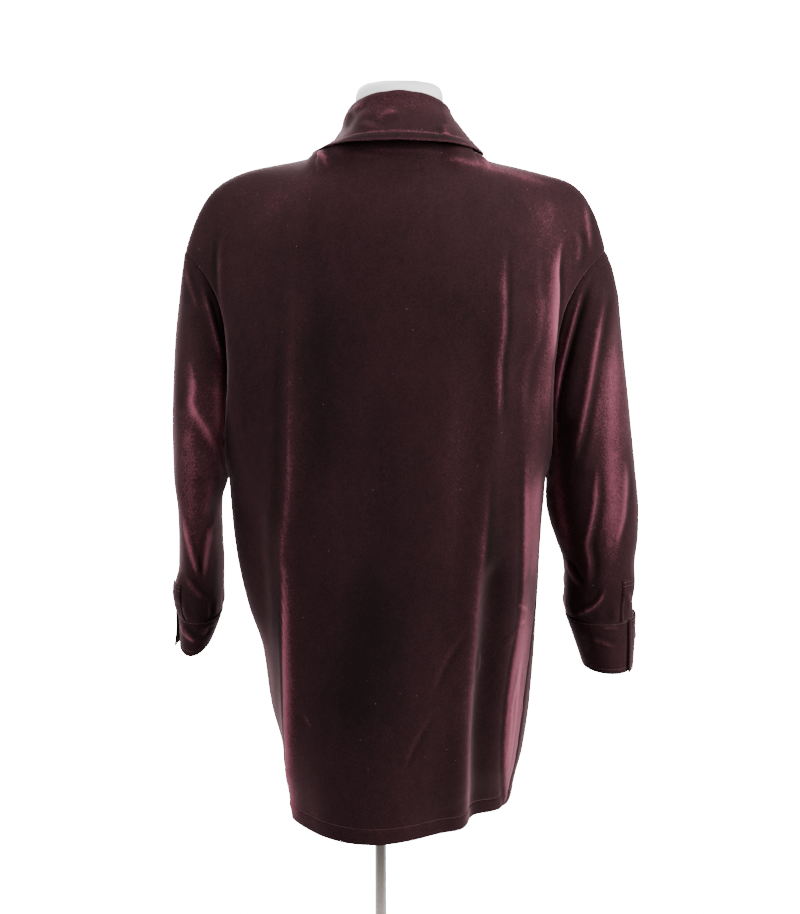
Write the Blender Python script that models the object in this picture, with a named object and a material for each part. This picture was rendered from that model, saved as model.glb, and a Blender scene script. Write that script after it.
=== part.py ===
# Velvet jacket with a turned-down collar, standing on a limbless dress form.
# Metres, +Z up. Floor is z = 0, the pole stands on the Z axis.
# The front of the jacket faces -Y and its back faces +Y.
# The wearer's left is +X. Heights are above the floor. Across is measured
# from the jacket's own centre line, which leans a little with the form.
import bpy
import bmesh
import math
import numpy as np

# cloth and seams
WALL = 0.0018
STRIP_WALL = 0.0012
SEAM_GAP = 0.0003
HEM_WALL = 0.0030
HEM_TURN_UP = 0.020

# body of the jacket
HEM_Z = 0.617
UNDERARM_Z = 1.055
LEAN_PER_METRE = -0.0275
LEAN_FROM_Z = 0.62
LAP_HALF = 0.0175
LAP_GAP = 0.0006
UPPER_POWER = 2.6
NECK_EASE = 7.0
EASE_PASSES = 1
NECK_TURN = math.radians(70.0)

# how finely the cloth is divided
LOW_ROWS = 17
UP_ROWS = 12
NECK_COLUMNS = 12
SHOULDER_COLUMNS = 9
FRONT_NECK_COLUMNS = 5
SLEEVE_RINGS = 20

BODY_COLUMNS = ("height", "left", "right", "back", "front", "power", "right_power", "forward",
                "seam")
BODY_ROWS = (
    (0.617, 0.1120, 0.1680, 0.1330, 0.1500, 2.2, 1.46, -0.014, 18.0),
    (0.645, 0.1135, 0.1725, 0.1330, 0.1500, 2.2, 1.53, -0.016, 18.0),
    (0.687, 0.1235, 0.1835, 0.1325, 0.1490, 2.2, 1.72, -0.022, 19.0),
    (0.755, 0.1435, 0.1900, 0.1315, 0.1470, 2.2, 1.85, -0.018, 19.0),
    (0.836, 0.1565, 0.1920, 0.1300, 0.1440, 2.2, 2.00, -0.014, 16.0),
    (0.889, 0.1742, 0.1920, 0.1290, 0.1420, 2.2, 2.10, -0.009, 11.0),
    (0.968, 0.1909, 0.1922, 0.1275, 0.1400, 2.3, 2.25, -0.003, 4.0),
    (1.055, 0.1995, 0.1948, 0.1265, 0.1380, 2.4, 2.40, 0.000, 0.0),
)

SHOULDER_COLUMNS_OF = ("across", "depth", "left_height", "right_height")
SHOULDER_ROWS = (
    (0.0810, -0.006, 1.4515, 1.4515),
    (0.1100, -0.006, 1.4405, 1.4385),
    (0.1500, -0.006, 1.4325, 1.4290),
    (0.1770, -0.006, 1.4270, 1.4222),
    (0.2050, -0.005, 1.4155, 1.4140),
    (0.2210, -0.004, 1.4035, 1.4030),
    (0.2310, -0.003, 1.3905, 1.3905),
    (0.2425, -0.002, 1.3680, 1.3695),
    (0.2510, -0.001, 1.3440, 1.3460),
    (0.2550, 0.000, 1.3320, 1.3320),
)

NECK_HALF = 0.081
NECK_DEPTH = 0.078
NECK_DEPTH_AT = -0.006
NECK_Z = 1.4515
NECK_TILT = 0.033
NECK_SAG = 0.0135

# sleeves: each row is one section, outer edge then inner edge
SLEEVE_COLUMNS_OF = ("outer", "outer_z", "inner", "inner_z", "half_depth", "depth", "power",
                     "bow")
SLEEVE_LEFT_ROWS = (
    (0.2550, 1.332, 0.1995, 1.055, 0.056, 0.000, 2.2, 0.030),
    (0.2585, 1.308, 0.2000, 1.0525, 0.063, 0.000, 2.2, 0.024),
    (0.2620, 1.271, 0.2006, 1.0500, 0.069, 0.000, 2.2, 0.015),
    (0.2665, 1.222, 0.2012, 1.0465, 0.076, 0.000, 2.2, 0.010),
    (0.2678, 1.172, 0.2022, 1.0420, 0.080, 0.000, 2.2, 0.003),
    (0.2680, 1.122, 0.2040, 1.0360, 0.083, 0.000, 2.2, 0.000),
    (0.2668, 1.064, 0.2085, 1.0230, 0.084, 0.000, 2.2, 0.000),
    (0.2615, 1.018, 0.2102, 1.0020, 0.083, 0.000, 2.2, 0.000),
    (0.2602, 0.975, 0.2090, 0.9700, 0.080, 0.000, 2.2, 0.000),
    (0.2612, 0.940, 0.2070, 0.9400, 0.074, 0.000, 2.2, 0.000),
    (0.2665, 0.915, 0.2068, 0.9150, 0.066, 0.000, 2.2, 0.000),
    (0.2672, 0.898, 0.2068, 0.8950, 0.060, 0.000, 2.2, 0.000),
    (0.2620, 0.878, 0.2078, 0.8760, 0.054, 0.000, 2.2, 0.000),
)
SLEEVE_RIGHT_ROWS = (
    (0.2550, 1.332, 0.1948, 1.055, 0.056, 0.000, 2.2, 0.030),
    (0.2655, 1.308, 0.1954, 1.0525, 0.060, 0.000, 2.2, 0.024),
    (0.2738, 1.271, 0.1959, 1.0495, 0.064, 0.000, 2.2, 0.015),
    (0.2815, 1.222, 0.1964, 1.0450, 0.066, 0.000, 2.2, 0.010),
    (0.2892, 1.172, 0.1967, 1.0390, 0.066, 0.000, 2.2, 0.003),
    (0.2970, 1.122, 0.1967, 1.0310, 0.064, 0.000, 2.2, 0.000),
    (0.3060, 1.064, 0.1980, 1.0140, 0.061, 0.000, 2.2, 0.000),
    (0.3130, 1.010, 0.2035, 0.9920, 0.058, 0.000, 2.2, 0.000),
    (0.3143, 0.975, 0.2130, 0.9680, 0.055, 0.000, 2.2, 0.000),
    (0.3124, 0.942, 0.2225, 0.9420, 0.052, 0.000, 2.2, 0.000),
    (0.3146, 0.915, 0.2251, 0.9150, 0.051, 0.000, 2.2, 0.000),
    (0.3130, 0.892, 0.2251, 0.8920, 0.049, 0.000, 2.2, 0.000),
    (0.3152, 0.872, 0.2290, 0.8720, 0.044, 0.000, 2.2, 0.000),
)

# cuffs: same columns as the sleeves, bow is how far the back hangs lower
CUFF_LEFT_ROWS = (
    (0.2620, 0.878, 0.2078, 0.8760, 0.054, 0.000, 2.2, 0.000),
    (0.2600, 0.858, 0.2130, 0.8590, 0.052, 0.002, 2.1, 0.003),
    (0.2595, 0.838, 0.2195, 0.8420, 0.050, 0.004, 2.0, 0.007),
)
CUFF_RIGHT_ROWS = (
    (0.3152, 0.872, 0.2290, 0.8720, 0.044, 0.000, 2.2, 0.000),
    (0.3160, 0.840, 0.2415, 0.8400, 0.042, 0.000, 2.1, 0.000),
    (0.3155, 0.803, 0.2540, 0.8060, 0.040, 0.000, 2.0, 0.000),
)
CUFF_OVERLAP = math.radians(42.0)
CUFF_LEFT_END = math.radians(24.0)
CUFF_RIGHT_END = math.radians(44.0)
CUFF_LAYER = 0.0026
CUFF_COLUMNS = 30

# collar stand and fall
STAND_TOP_HALF = 0.0550
STAND_TOP_DEPTH = 0.0620
STAND_TOP_DEPTH_AT = -0.006
STAND_TOP_Z = 1.4935
STAND_TOP_TILT = 0.0380
STAND_TOP_SAG = 0.0215
STAND_LIFT = 0.0008
FALL_OPEN = math.radians(7.0)
FALL_ROLL = 0.0085
FALL_COLUMNS_OF = ("turn", "across", "depth", "height")
FALL_EDGE_ROWS = (
    (-83.0, 0.0560, -0.1270, 1.3640),
    (-60.0, 0.0830, -0.1090, 1.3960),
    (-30.0, 0.1010, -0.0600, 1.4350),
    (0.0, 0.1030, -0.0050, 1.4495),
    (30.0, 0.0900, 0.0480, 1.4565),
    (60.0, 0.0540, 0.0840, 1.4640),
    (90.0, 0.0000, 0.0965, 1.4665),
)

# big folds of the back: height of the fold, its width to either side, its path
FOLD_COLUMNS = ("rise", "left_width", "right_width", "path")
BACK_FOLDS = (
    (0.0060, 0.018, 0.016, ((1.33, 0.116), (1.15, 0.120), (1.02, 0.130), (0.88, 0.127),
                            (0.75, 0.121), (0.62, 0.112))),
    (-0.0050, 0.018, 0.018, ((1.05, 0.165), (0.95, 0.152), (0.88, 0.146), (0.75, 0.134),
                             (0.68, 0.126))),
    (0.0060, 0.016, 0.016, ((1.33, -0.128), (1.15, -0.122), (1.02, -0.112), (0.90, -0.106),
                            (0.78, -0.098), (0.62, -0.098))),
    (-0.0105, 0.015, 0.015, ((0.98, -0.130), (0.86, -0.126), (0.75, -0.122), (0.62, -0.126))),
    (0.0045, 0.016, 0.018, ((1.20, -0.155), (1.02, -0.160), (0.90, -0.156), (0.80, -0.150),
                            (0.62, -0.156))),
)
RIGHT_SLEEVE_FOLDS = (
    (0.0040, 0.012, 0.016, ((1.30, -0.240), (1.24, -0.231), (1.18, -0.218), (1.12, -0.208))),
    (0.0050, 0.014, 0.016, ((1.30, -0.256), (1.22, -0.248), (1.14, -0.238), (1.06, -0.226))),
)
LEFT_SLEEVE_FOLDS = (
    (0.0040, 0.014, 0.012, ((1.28, 0.236), (1.22, 0.226), (1.16, 0.214), (1.11, 0.206))),
    (0.0040, 0.014, 0.014, ((1.15, 0.246), (1.10, 0.240), (1.06, 0.222))),
)

# buttons
BUTTON_R = 0.0058
BUTTON_THICK = 0.0026
BUTTON_LIFT = 0.0004
BUTTON_SEGMENTS = 14
BUTTON_TOP_Z = 1.345
BUTTON_BOTTOM_Z = 0.715
BUTTON_COUNT = 7

# sleeve plackets
PLACKET_LIFT = 0.0004

# dress form
FORM_SEGMENTS = 28
FORM_COLUMNS = ("height", "half", "back", "front", "power")
FORM_ROWS = (
    (0.752, 0.085, 0.075, 0.085, 2.0),
    (0.754, 0.108, 0.092, 0.102, 2.1),
    (0.764, 0.122, 0.102, 0.110, 2.2),
    (0.800, 0.137, 0.108, 0.114, 2.2),
    (0.870, 0.151, 0.110, 0.114, 2.2),
    (0.940, 0.147, 0.103, 0.107, 2.2),
    (1.010, 0.139, 0.095, 0.103, 2.2),
    (1.090, 0.148, 0.099, 0.108, 2.2),
    (1.190, 0.166, 0.106, 0.116, 2.2),
    (1.270, 0.178, 0.107, 0.113, 2.2),
    (1.330, 0.192, 0.098, 0.100, 2.1),
    (1.375, 0.202, 0.082, 0.082, 2.0),
    (1.398, 0.200, 0.068, 0.070, 2.0),
    (1.412, 0.190, 0.058, 0.064, 1.9),
    (1.4215, 0.165, 0.056, 0.062, 1.7),
    (1.4285, 0.132, 0.055, 0.054, 1.6),
    (1.4360, 0.096, 0.055, 0.051, 1.7),
    (1.4470, 0.069, 0.054, 0.052, 1.9),
    (1.4620, 0.0560, 0.053, 0.055, 2.0),
    (1.4900, 0.0515, 0.051, 0.056, 2.0),
    (1.5120, 0.0510, 0.050, 0.055, 2.0),
    (1.5220, 0.0465, 0.046, 0.050, 2.0),
    (1.5290, 0.0350, 0.035, 0.038, 2.0),
    (1.5325, 0.0170, 0.017, 0.018, 2.0),
)

# stand
POLE_R = 0.0075
BASE_R = 0.160
BASE_THICK = 0.010
BASE_BEVEL = 0.0015
BASE_SOCKET_R = 0.022
BASE_SOCKET_Z = 0.045
FORM_SOCKET_R = 0.030
FORM_SOCKET_H = 0.018
FORM_BOTTOM_Z = 0.752


# tables and curves

def column(names, rows, name):
    return [row[names.index(name)] for row in rows]


def curve(xs, ys, at):
    """Smooth line through a short column of sizes that never overshoots them."""
    xs = np.asarray(xs, float)
    ys = np.asarray(ys, float)
    if xs[0] > xs[-1]:
        xs = xs[::-1]
        ys = ys[::-1]
    step = np.diff(xs)
    slope = np.diff(ys) / step
    end = np.zeros(len(xs))
    end[0] = slope[0]
    end[-1] = slope[-1]
    for i in range(1, len(xs) - 1):
        if slope[i - 1] * slope[i] > 0:
            before = 2 * step[i] + step[i - 1]
            after = step[i] + 2 * step[i - 1]
            end[i] = (before + after) / (before / slope[i - 1] + after / slope[i])
    at = np.clip(np.asarray(at, float), xs[0], xs[-1])
    k = np.clip(np.searchsorted(xs, at) - 1, 0, len(xs) - 2)
    t = (at - xs[k]) / step[k]
    return ((2 * t ** 3 - 3 * t ** 2 + 1) * ys[k] + (t ** 3 - 2 * t ** 2 + t) * step[k] * end[k]
            + (3 * t ** 2 - 2 * t ** 3) * ys[k + 1] + (t ** 3 - t ** 2) * step[k] * end[k + 1])


def smooth(t):
    t = np.clip(t, 0.0, 1.0)
    return t * t * (3 - 2 * t)


def unit(v):
    return v / np.maximum(np.linalg.norm(v, axis=-1, keepdims=True), 1e-12)


def rounded(value, power):
    return np.sign(value) * np.abs(value) ** (2.0 / power)


# body of the jacket

def body_size(name, z):
    return curve(column(BODY_COLUMNS, BODY_ROWS, "height"), column(BODY_COLUMNS, BODY_ROWS, name), z)


def body_ring(z, turn):
    """Outer face of the cloth at height z. turn is 0 at the left side, 90 degrees at the back."""
    z = np.asarray(z, float) + 0 * turn
    c = np.cos(turn)
    s = np.sin(turn)
    half = np.where(c > 0, body_size("left", z), body_size("right", z))
    deep = np.where(s > 0, body_size("back", z), body_size("front", z))
    power = np.where((c < 0) & (s > 0), body_size("right_power", z), body_size("power", z))
    x = half * rounded(c, power)
    y = deep * rounded(s, power) + body_size("forward", z) * np.clip(-c, 0, 1) ** 2
    return np.stack([x, y, z], axis=-1)


def neck_seam(turn):
    c = np.cos(turn)
    s = np.sin(turn)
    return np.stack([NECK_HALF * c, NECK_DEPTH_AT + NECK_DEPTH * s,
                     NECK_Z + NECK_TILT * s - NECK_SAG * s * s], axis=-1)


def shoulder_seam(k, side):
    height = "left_height" if side > 0 else "right_height"
    names = ("across", "depth", height)
    rows = np.array([column(SHOULDER_COLUMNS_OF, SHOULDER_ROWS, n) for n in names]).T
    run = np.concatenate([[0.0], np.cumsum(np.linalg.norm(np.diff(rows, axis=0), axis=1))])
    at = k * run[-1]
    out = np.stack([curve(run, rows[:, i], at) for i in range(3)], axis=-1)
    out[..., 0] *= side
    return out


def sleeve_table(side):
    return SLEEVE_LEFT_ROWS if side > 0 else SLEEVE_RIGHT_ROWS


def sleeve_ring(rows, t, phi, side):
    """Section t of a sleeve or cuff. phi is 0 at its outer edge, 90 degrees at the back."""
    knots = np.linspace(0.0, 1.0, len(rows))
    size = {n: curve(knots, column(SLEEVE_COLUMNS_OF, rows, n), t) for n in SLEEVE_COLUMNS_OF}
    c = np.cos(phi)
    s = np.sin(phi)
    ax = (size["outer"] - size["inner"]) / 2
    az = (size["outer_z"] - size["inner_z"]) / 2
    length = np.sqrt(ax ** 2 + az ** 2)
    cr = rounded(c, size["power"])
    bow = size["bow"] * s * s * (1 + 0.9 * c)
    x = (size["outer"] + size["inner"]) / 2 + ax * cr - bow * az / length
    z = (size["outer_z"] + size["inner_z"]) / 2 + az * cr + bow * ax / length
    y = size["depth"] + size["half_depth"] * rounded(s, size["power"])
    return np.stack([side * x, y + 0 * x, z], axis=-1)


def row_phi():
    """Angles round the armhole where the body rows meet it, underarm first."""
    return math.pi * (1 - np.linspace(0, 1, UP_ROWS + 1))


def ease_columns(top, keep):
    """The top row with its corners rounded; its ends and its first columns stay put."""
    row = np.array(top)
    for _ in range(EASE_PASSES * top.shape[0]):
        row[1:-1] = (row[:-2] + 2 * row[1:-1] + row[2:]) / 4
    share = np.clip((np.arange(len(top)) - keep) / 3.0, 0, 1)[:, None] if keep else 1.0
    return top + (row - top) * share


def upper_patch(bottom, top, edges, keep=0):
    """Cloth from the underarm row up to the top row, drawn to the armhole at its ends."""
    w = np.linspace(0, 1, UP_ROWS + 1)[:, None]
    alpha = w ** 1.25 * math.pi / 2
    up = np.sin(alpha) ** (2 / UPPER_POWER)
    fall = np.cos(np.minimum(alpha, math.pi / 2)) ** (2 / UPPER_POWER)
    fall = np.where(alpha > math.pi / 2 - 1e-6, 0.0, fall)
    # away from the top row the corner between neck and shoulder is eased out
    eased = ease_columns(top, keep)
    local = (up ** NECK_EASE)[:, :, None]
    goal = eased[None] * (1 - local) + top[None] * local
    x = bottom[None, :, 0] + (goal[..., 0] - bottom[None, :, 0]) * up ** 2.0
    z = bottom[None, :, 2] + (goal[..., 2] - bottom[None, :, 2]) * up
    y = goal[..., 1] + (bottom[None, :, 1] - goal[..., 1]) * fall
    grid = np.stack([x, y, z], axis=-1)
    count = grid.shape[1]
    for index, edge in edges.items():
        miss = edge - grid[:, index]
        weight = np.zeros(count)
        far = abs(np.arange(count) - (index % count)) / float(SHOULDER_COLUMNS + 1)
        weight = np.clip(1 - far, 0, 1) ** 1.7
        grid = grid + miss[:, None, :] * weight[None, :, None]
    return grid


def back_turns():
    side = NECK_TURN * (1 - np.linspace(0, 1, SHOULDER_COLUMNS + 1))
    neck = np.linspace(math.pi - NECK_TURN, NECK_TURN, NECK_COLUMNS + 1)
    return np.concatenate([math.pi - side[::-1][:-1], neck, side[1:]])


def back_grid():
    turns = back_turns()
    heights = np.linspace(HEM_Z, UNDERARM_Z, LOW_ROWS + 1)
    rows = []
    for z in heights:
        end = math.radians(float(body_size("seam", z)))
        past = turns - math.pi / 2
        squeezed = np.where(past > 0, math.pi / 2 + past * (1 - end * 2 / math.pi), turns)
        rows.append(body_ring(z, squeezed))
    low = np.array(rows)
    k = np.linspace(0, 1, SHOULDER_COLUMNS + 1)
    neck = neck_seam(np.linspace(math.pi, 0, NECK_COLUMNS + 1))
    top = np.concatenate([shoulder_seam(k[::-1], -1)[:-1], neck, shoulder_seam(k, 1)[1:]])
    edges = {0: sleeve_ring(SLEEVE_RIGHT_ROWS, 0.0, row_phi(), -1),
             -1: sleeve_ring(SLEEVE_LEFT_ROWS, 0.0, row_phi(), 1)}
    return np.concatenate([low, upper_patch(low[-1], top, edges)[1:]])


def front_grid(side):
    """Columns run from the centre edge to the side seam."""
    heights = np.linspace(HEM_Z, UNDERARM_Z, LOW_ROWS + 1)
    rows = []
    for z in heights:
        half = float(body_size("right" if side > 0 else "left", z))
        power = float(body_size("power", z))
        past = math.asin((LAP_HALF / half) ** (power / 2))
        neck_at = math.pi / 2 - NECK_TURN
        inner = np.linspace(-past, neck_at, FRONT_NECK_COLUMNS + 1)
        outer = np.linspace(neck_at, math.pi / 2, SHOULDER_COLUMNS + 1)
        turns = np.concatenate([inner, outer[1:]])
        if side > 0:
            rows.append(body_ring(z, 1.5 * math.pi + turns))
        else:
            end = math.radians(float(body_size("seam", z)))
            turns = np.where(turns > 0, turns * (math.pi / 2 + end) / (math.pi / 2), turns)
            rows.append(body_ring(z, 1.5 * math.pi - turns))
    low = np.array(rows)
    k = np.linspace(0, 1, SHOULDER_COLUMNS + 1)
    past = math.asin(LAP_HALF / NECK_HALF)
    neck = neck_seam(np.linspace(-math.pi / 2 - past, 0, FRONT_NECK_COLUMNS + 1))
    neck[:, 0] *= side
    top = np.concatenate([neck, shoulder_seam(k, side)[1:]])
    edge = sleeve_ring(sleeve_table(side), 0.0, -row_phi(), side)
    return np.concatenate([low, upper_patch(low[-1], top, {-1: edge}, 2)[1:]])


# folds

def path_reach(points, path):
    """Distance from the fold's path as seen from behind, which side, and how far along it."""
    px = points[..., 0]
    pz = points[..., 2]
    best = np.full(px.shape, 1e9)
    side = np.zeros(px.shape)
    along = np.zeros(px.shape)
    knots = [(across, height) for height, across in path]
    total = sum(math.dist(a, b) for a, b in zip(knots, knots[1:]))
    run = 0.0
    for a, b in zip(knots, knots[1:]):
        dx = b[0] - a[0]
        dz = b[1] - a[1]
        length = math.hypot(dx, dz)
        t = ((px - a[0]) * dx + (pz - a[1]) * dz) / length ** 2
        t_in = np.clip(t, 0, 1)
        reach = np.hypot(px - a[0] - t_in * dx, pz - a[1] - t_in * dz)
        cross = dx * (pz - a[1]) - dz * (px - a[0])
        near = reach < best
        side = np.where(near, np.sign(cross), side)
        along = np.where(near, (run + t_in * length) / total, along)
        best = np.where(near, reach, best)
        run += length
    return best, side, along


def fold_rise(points, normals, folds, facing=1.0):
    """Sum of the folds at each point. A fold fades out at both ends of its path."""
    rise = np.zeros(points.shape[:-1])
    seen = smooth(facing * normals[..., 1] / 0.3)
    for height, left, right, path in folds:
        reach, side, along = path_reach(points, path)
        width = np.where(side > 0, left, right)
        fade = smooth(along / 0.12) * np.where(path[-1][0] < 0.64, 1.0, smooth((1 - along) / 0.12))
        rise += height * np.exp(-(reach / width) ** 2) * fade
    return rise * seen


# walls and solids

def grid_normals(grid, wrap):
    """Face direction at each point; away_from turns it outwards where it is needed."""
    if wrap:
        du = np.roll(grid, -1, axis=1) - np.roll(grid, 1, axis=1)
    else:
        du = np.gradient(grid, axis=1)
    dv = np.gradient(grid, axis=0)
    return unit(np.cross(du, dv))


def away_from(grid, normals, centre):
    """Turns the whole field round if it points at the centre."""
    if np.sum((grid - centre) * normals) < 0:
        return -normals
    return normals


def lean(points):
    out = np.array(points, float)
    out[..., 0] += LEAN_PER_METRE * np.maximum(out[..., 2] - LEAN_FROM_Z, 0)
    return out


def make_object(name, verts, faces, smooth_count, colour, roughness, metallic):
    verts = np.asarray(verts, float)
    centre = (verts.min(axis=0) + verts.max(axis=0)) / 2
    mesh = bpy.data.meshes.new(name)
    mesh.from_pydata([tuple(v) for v in verts - centre], [], [tuple(f) for f in faces])
    bm = bmesh.new()
    bm.from_mesh(mesh)
    bmesh.ops.recalc_face_normals(bm, faces=bm.faces)
    bm.to_mesh(mesh)
    bm.free()
    for i, polygon in enumerate(mesh.polygons):
        polygon.use_smooth = i < smooth_count
    material = bpy.data.materials.get(colour[0])
    if material is None:
        material = bpy.data.materials.new(colour[0])
        material.use_nodes = True
        shader = material.node_tree.nodes["Principled BSDF"]
        shader.inputs["Base Color"].default_value = colour[1] + (1.0,)
        shader.inputs["Roughness"].default_value = roughness
        shader.inputs["Metallic"].default_value = metallic
        material.diffuse_color = colour[1] + (1.0,)
    mesh.materials.append(material)
    thing = bpy.data.objects.new(name, mesh)
    thing.location = tuple(centre)
    bpy.context.scene.collection.objects.link(thing)
    return thing


VELVET = ("velvet", (0.085, 0.012, 0.022))
HORN = ("horn button", (0.035, 0.012, 0.012))
SHELL = ("form shell", (0.78, 0.78, 0.78))
STEEL = ("polished steel", (0.62, 0.60, 0.58))


def sheet_solid(name, outer, inner, wrap):
    """Closed wall between an outer and an inner grid of points."""
    rows, cols = outer.shape[:2]
    verts = np.concatenate([outer.reshape(-1, 3), inner.reshape(-1, 3)])
    far = rows * cols
    faces = []
    last = cols if wrap else cols - 1
    for r in range(rows - 1):
        for c in range(last):
            n = (c + 1) % cols
            faces.append((r * cols + c, r * cols + n, (r + 1) * cols + n, (r + 1) * cols + c))
            back = far + r * cols
            faces.append((back + c, back + cols + c, back + cols + n, back + n))
    smooth_count = len(faces)
    for c in range(last):
        n = (c + 1) % cols
        faces.append((c, far + c, far + n, n))
        top = (rows - 1) * cols
        faces.append((top + c, top + n, far + top + n, far + top + c))
    if not wrap:
        for r in range(rows - 1):
            a = r * cols
            b = (r + 1) * cols
            faces.append((a, b, far + b, far + a))
            e = a + cols - 1
            f = b + cols - 1
            faces.append((e, far + e, far + f, f))
    return make_object(name, verts, faces, smooth_count, VELVET, 0.85, 0.0)


def inset(outer, inner, edge, amount):
    """Draws one edge back along the sheet so that it stands clear of its neighbour."""
    a = outer[edge[0]]
    b = outer[edge[1]]
    wall = unit(inner[edge[0]] - a)
    along = b - a
    along = unit(along - np.sum(along * wall, axis=-1, keepdims=True) * wall)
    outer[edge[0]] = a + along * amount
    inner[edge[0]] = inner[edge[0]] + along * amount


ALL = slice(None)
FIRST_COLUMN = ((ALL, 0), (ALL, 1))
LAST_COLUMN = ((ALL, -1), (ALL, -2))
FIRST_ROW = ((0,), (1,))
LAST_ROW = ((-1,), (-2,))


def build_body():
    back = back_grid()
    left = front_grid(1)
    right = front_grid(-1)
    middle = np.array([0.0, 0.0, 1.05])
    n_back = away_from(back, grid_normals(back, False), middle)
    n_left = away_from(left, grid_normals(left, False), middle)
    n_right = away_from(right, grid_normals(right, False), middle)
    back = back + n_back * fold_rise(back, n_back, BACK_FOLDS)[..., None]
    # the fronts take the same push along the side seams so that the edges still meet
    for front, column_index in ((left, -1), (right, 0)):
        shift = back[:, column_index] - back_grid()[:, column_index]
        shift[LOW_ROWS + 1:] = 0
        fade = np.clip(1 - np.arange(front.shape[1])[::-1] / 4.0, 0, 1)
        front += shift[:, None, :] * fade[None, :, None]
    # the armhole edges stay on the armhole
    back[LOW_ROWS:, -1] = sleeve_ring(SLEEVE_LEFT_ROWS, 0.0, row_phi(), 1)
    back[LOW_ROWS:, 0] = sleeve_ring(SLEEVE_RIGHT_ROWS, 0.0, row_phi(), -1)
    n_back = away_from(back, grid_normals(back, False), middle)
    n_left = away_from(left, grid_normals(left, False), middle)
    n_right = away_from(right, grid_normals(right, False), middle)
    # shared wall directions along the side seams and the shoulder seams
    low = slice(0, LOW_ROWS + 1)
    for front, n_front, column_index in ((left, n_left, -1), (right, n_right, 0)):
        both = unit(n_back[low, column_index] + n_front[low, -1])
        n_back[low, column_index] = both
        n_front[low, -1] = both
    shoulder = slice(FRONT_NECK_COLUMNS, None)
    back_left = slice(SHOULDER_COLUMNS + NECK_COLUMNS, None)
    back_right = slice(SHOULDER_COLUMNS, None, -1)
    for n_front, part in ((n_left, back_left), (n_right, back_right)):
        both = unit(n_back[-1, part] + n_front[-1, shoulder])
        n_back[-1, part] = both
        n_front[-1, shoulder] = both
    return back, n_back, left, n_left, right, n_right


def sleeve_grid(side, folds):
    rows = sleeve_table(side)
    phi = np.concatenate([row_phi()[::-1], -row_phi()[1:-1]])
    t = np.linspace(0, 1, SLEEVE_RINGS + 1)
    grid = np.array([sleeve_ring(rows, v, phi, side) for v in t])
    centre = grid.mean(axis=1, keepdims=True)
    normals = grid_normals(grid, True)
    if np.sum((grid - centre) * normals) < 0:
        normals = -normals
    rise = fold_rise(grid, normals, folds) * smooth(t / 0.12)[:, None] * smooth((1 - t) / 0.08)[:, None]
    grid = grid + normals * rise[..., None]
    normals = grid_normals(grid, True)
    if np.sum((grid - centre) * normals) < 0:
        normals = -normals
    return grid, normals


def share_armhole(n_panel, n_ring):
    """Wall directions at the armhole: shared over the shoulder, each its own at the underarm."""
    phi = np.abs(row_phi())
    own = smooth((phi - math.radians(80)) / math.radians(60))[:, None]
    both = unit(n_panel + n_ring)
    return unit(both * (1 - own) + n_panel * own), unit(both * (1 - own) + n_ring * own)


def button(name, centre, normal, tilt_up=(0.0, 0.0, 1.0)):
    """Turned disc with a raised rim and a dished middle."""
    normal = unit(np.asarray(normal, float))
    across = unit(np.cross(np.asarray(tilt_up, float), normal))
    up = np.cross(normal, across)
    profile = ((BUTTON_R * 0.80, 0.0), (BUTTON_R, 0.0010), (BUTTON_R * 0.97, BUTTON_THICK),
               (BUTTON_R * 0.70, BUTTON_THICK * 0.98), (BUTTON_R * 0.55, BUTTON_THICK * 0.66))
    verts = []
    for radius, lift in profile:
        for i in range(BUTTON_SEGMENTS):
            angle = 2 * math.pi * i / BUTTON_SEGMENTS
            spoke = across * math.cos(angle) + up * math.sin(angle)
            verts.append(centre + normal * lift + radius * spoke)
    faces = []
    n = BUTTON_SEGMENTS
    for ring in range(len(profile) - 1):
        for i in range(n):
            j = (i + 1) % n
            faces.append((ring * n + i, ring * n + j, (ring + 1) * n + j, (ring + 1) * n + i))
    smooth_count = 0
    faces.append(tuple(range(n)))
    faces.append(tuple((len(profile) - 1) * n + i for i in range(n)))
    return make_object(name, verts, faces, smooth_count, HORN, 0.35, 0.0)


def lathe(name, profile, segments, material, roughness, metallic, x0=0.0):
    """Round solid from (radius, height) pairs; its ends are flat."""
    verts = []
    for radius, height in profile:
        for i in range(segments):
            angle = 2 * math.pi * i / segments
            verts.append((x0 + radius * math.cos(angle), radius * math.sin(angle), height))
    faces = []
    for ring in range(len(profile) - 1):
        for i in range(segments):
            j = (i + 1) % segments
            faces.append((ring * segments + i, ring * segments + j, (ring + 1) * segments + j,
                          (ring + 1) * segments + i))
    smooth_count = len(faces)
    faces.append(tuple(range(segments)))
    faces.append(tuple((len(profile) - 1) * segments + i for i in range(segments)))
    return make_object(name, verts, faces, smooth_count, material, roughness, metallic)


def hem_walls(heights):
    return WALL + (HEM_WALL - WALL) * smooth((HEM_Z + HEM_TURN_UP + 0.012 - heights) / 0.012)


def stand_ring(level, turn):
    """Collar stand between the neck seam (level 0) and its top (level 1)."""
    low = neck_seam(turn)
    low = low + np.array([0.0, 0.0, STAND_LIFT])
    c = np.cos(turn)
    s = np.sin(turn)
    high = np.stack([STAND_TOP_HALF * c, STAND_TOP_DEPTH_AT + STAND_TOP_DEPTH * s,
                     STAND_TOP_Z + STAND_TOP_TILT * s - STAND_TOP_SAG * s * s], axis=-1)
    bow = np.sin(math.pi * level) * 0.0015
    out = low * (1 - level) + high * level
    out[..., 0] += bow * c
    out[..., 1] += bow * s
    return out


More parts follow.
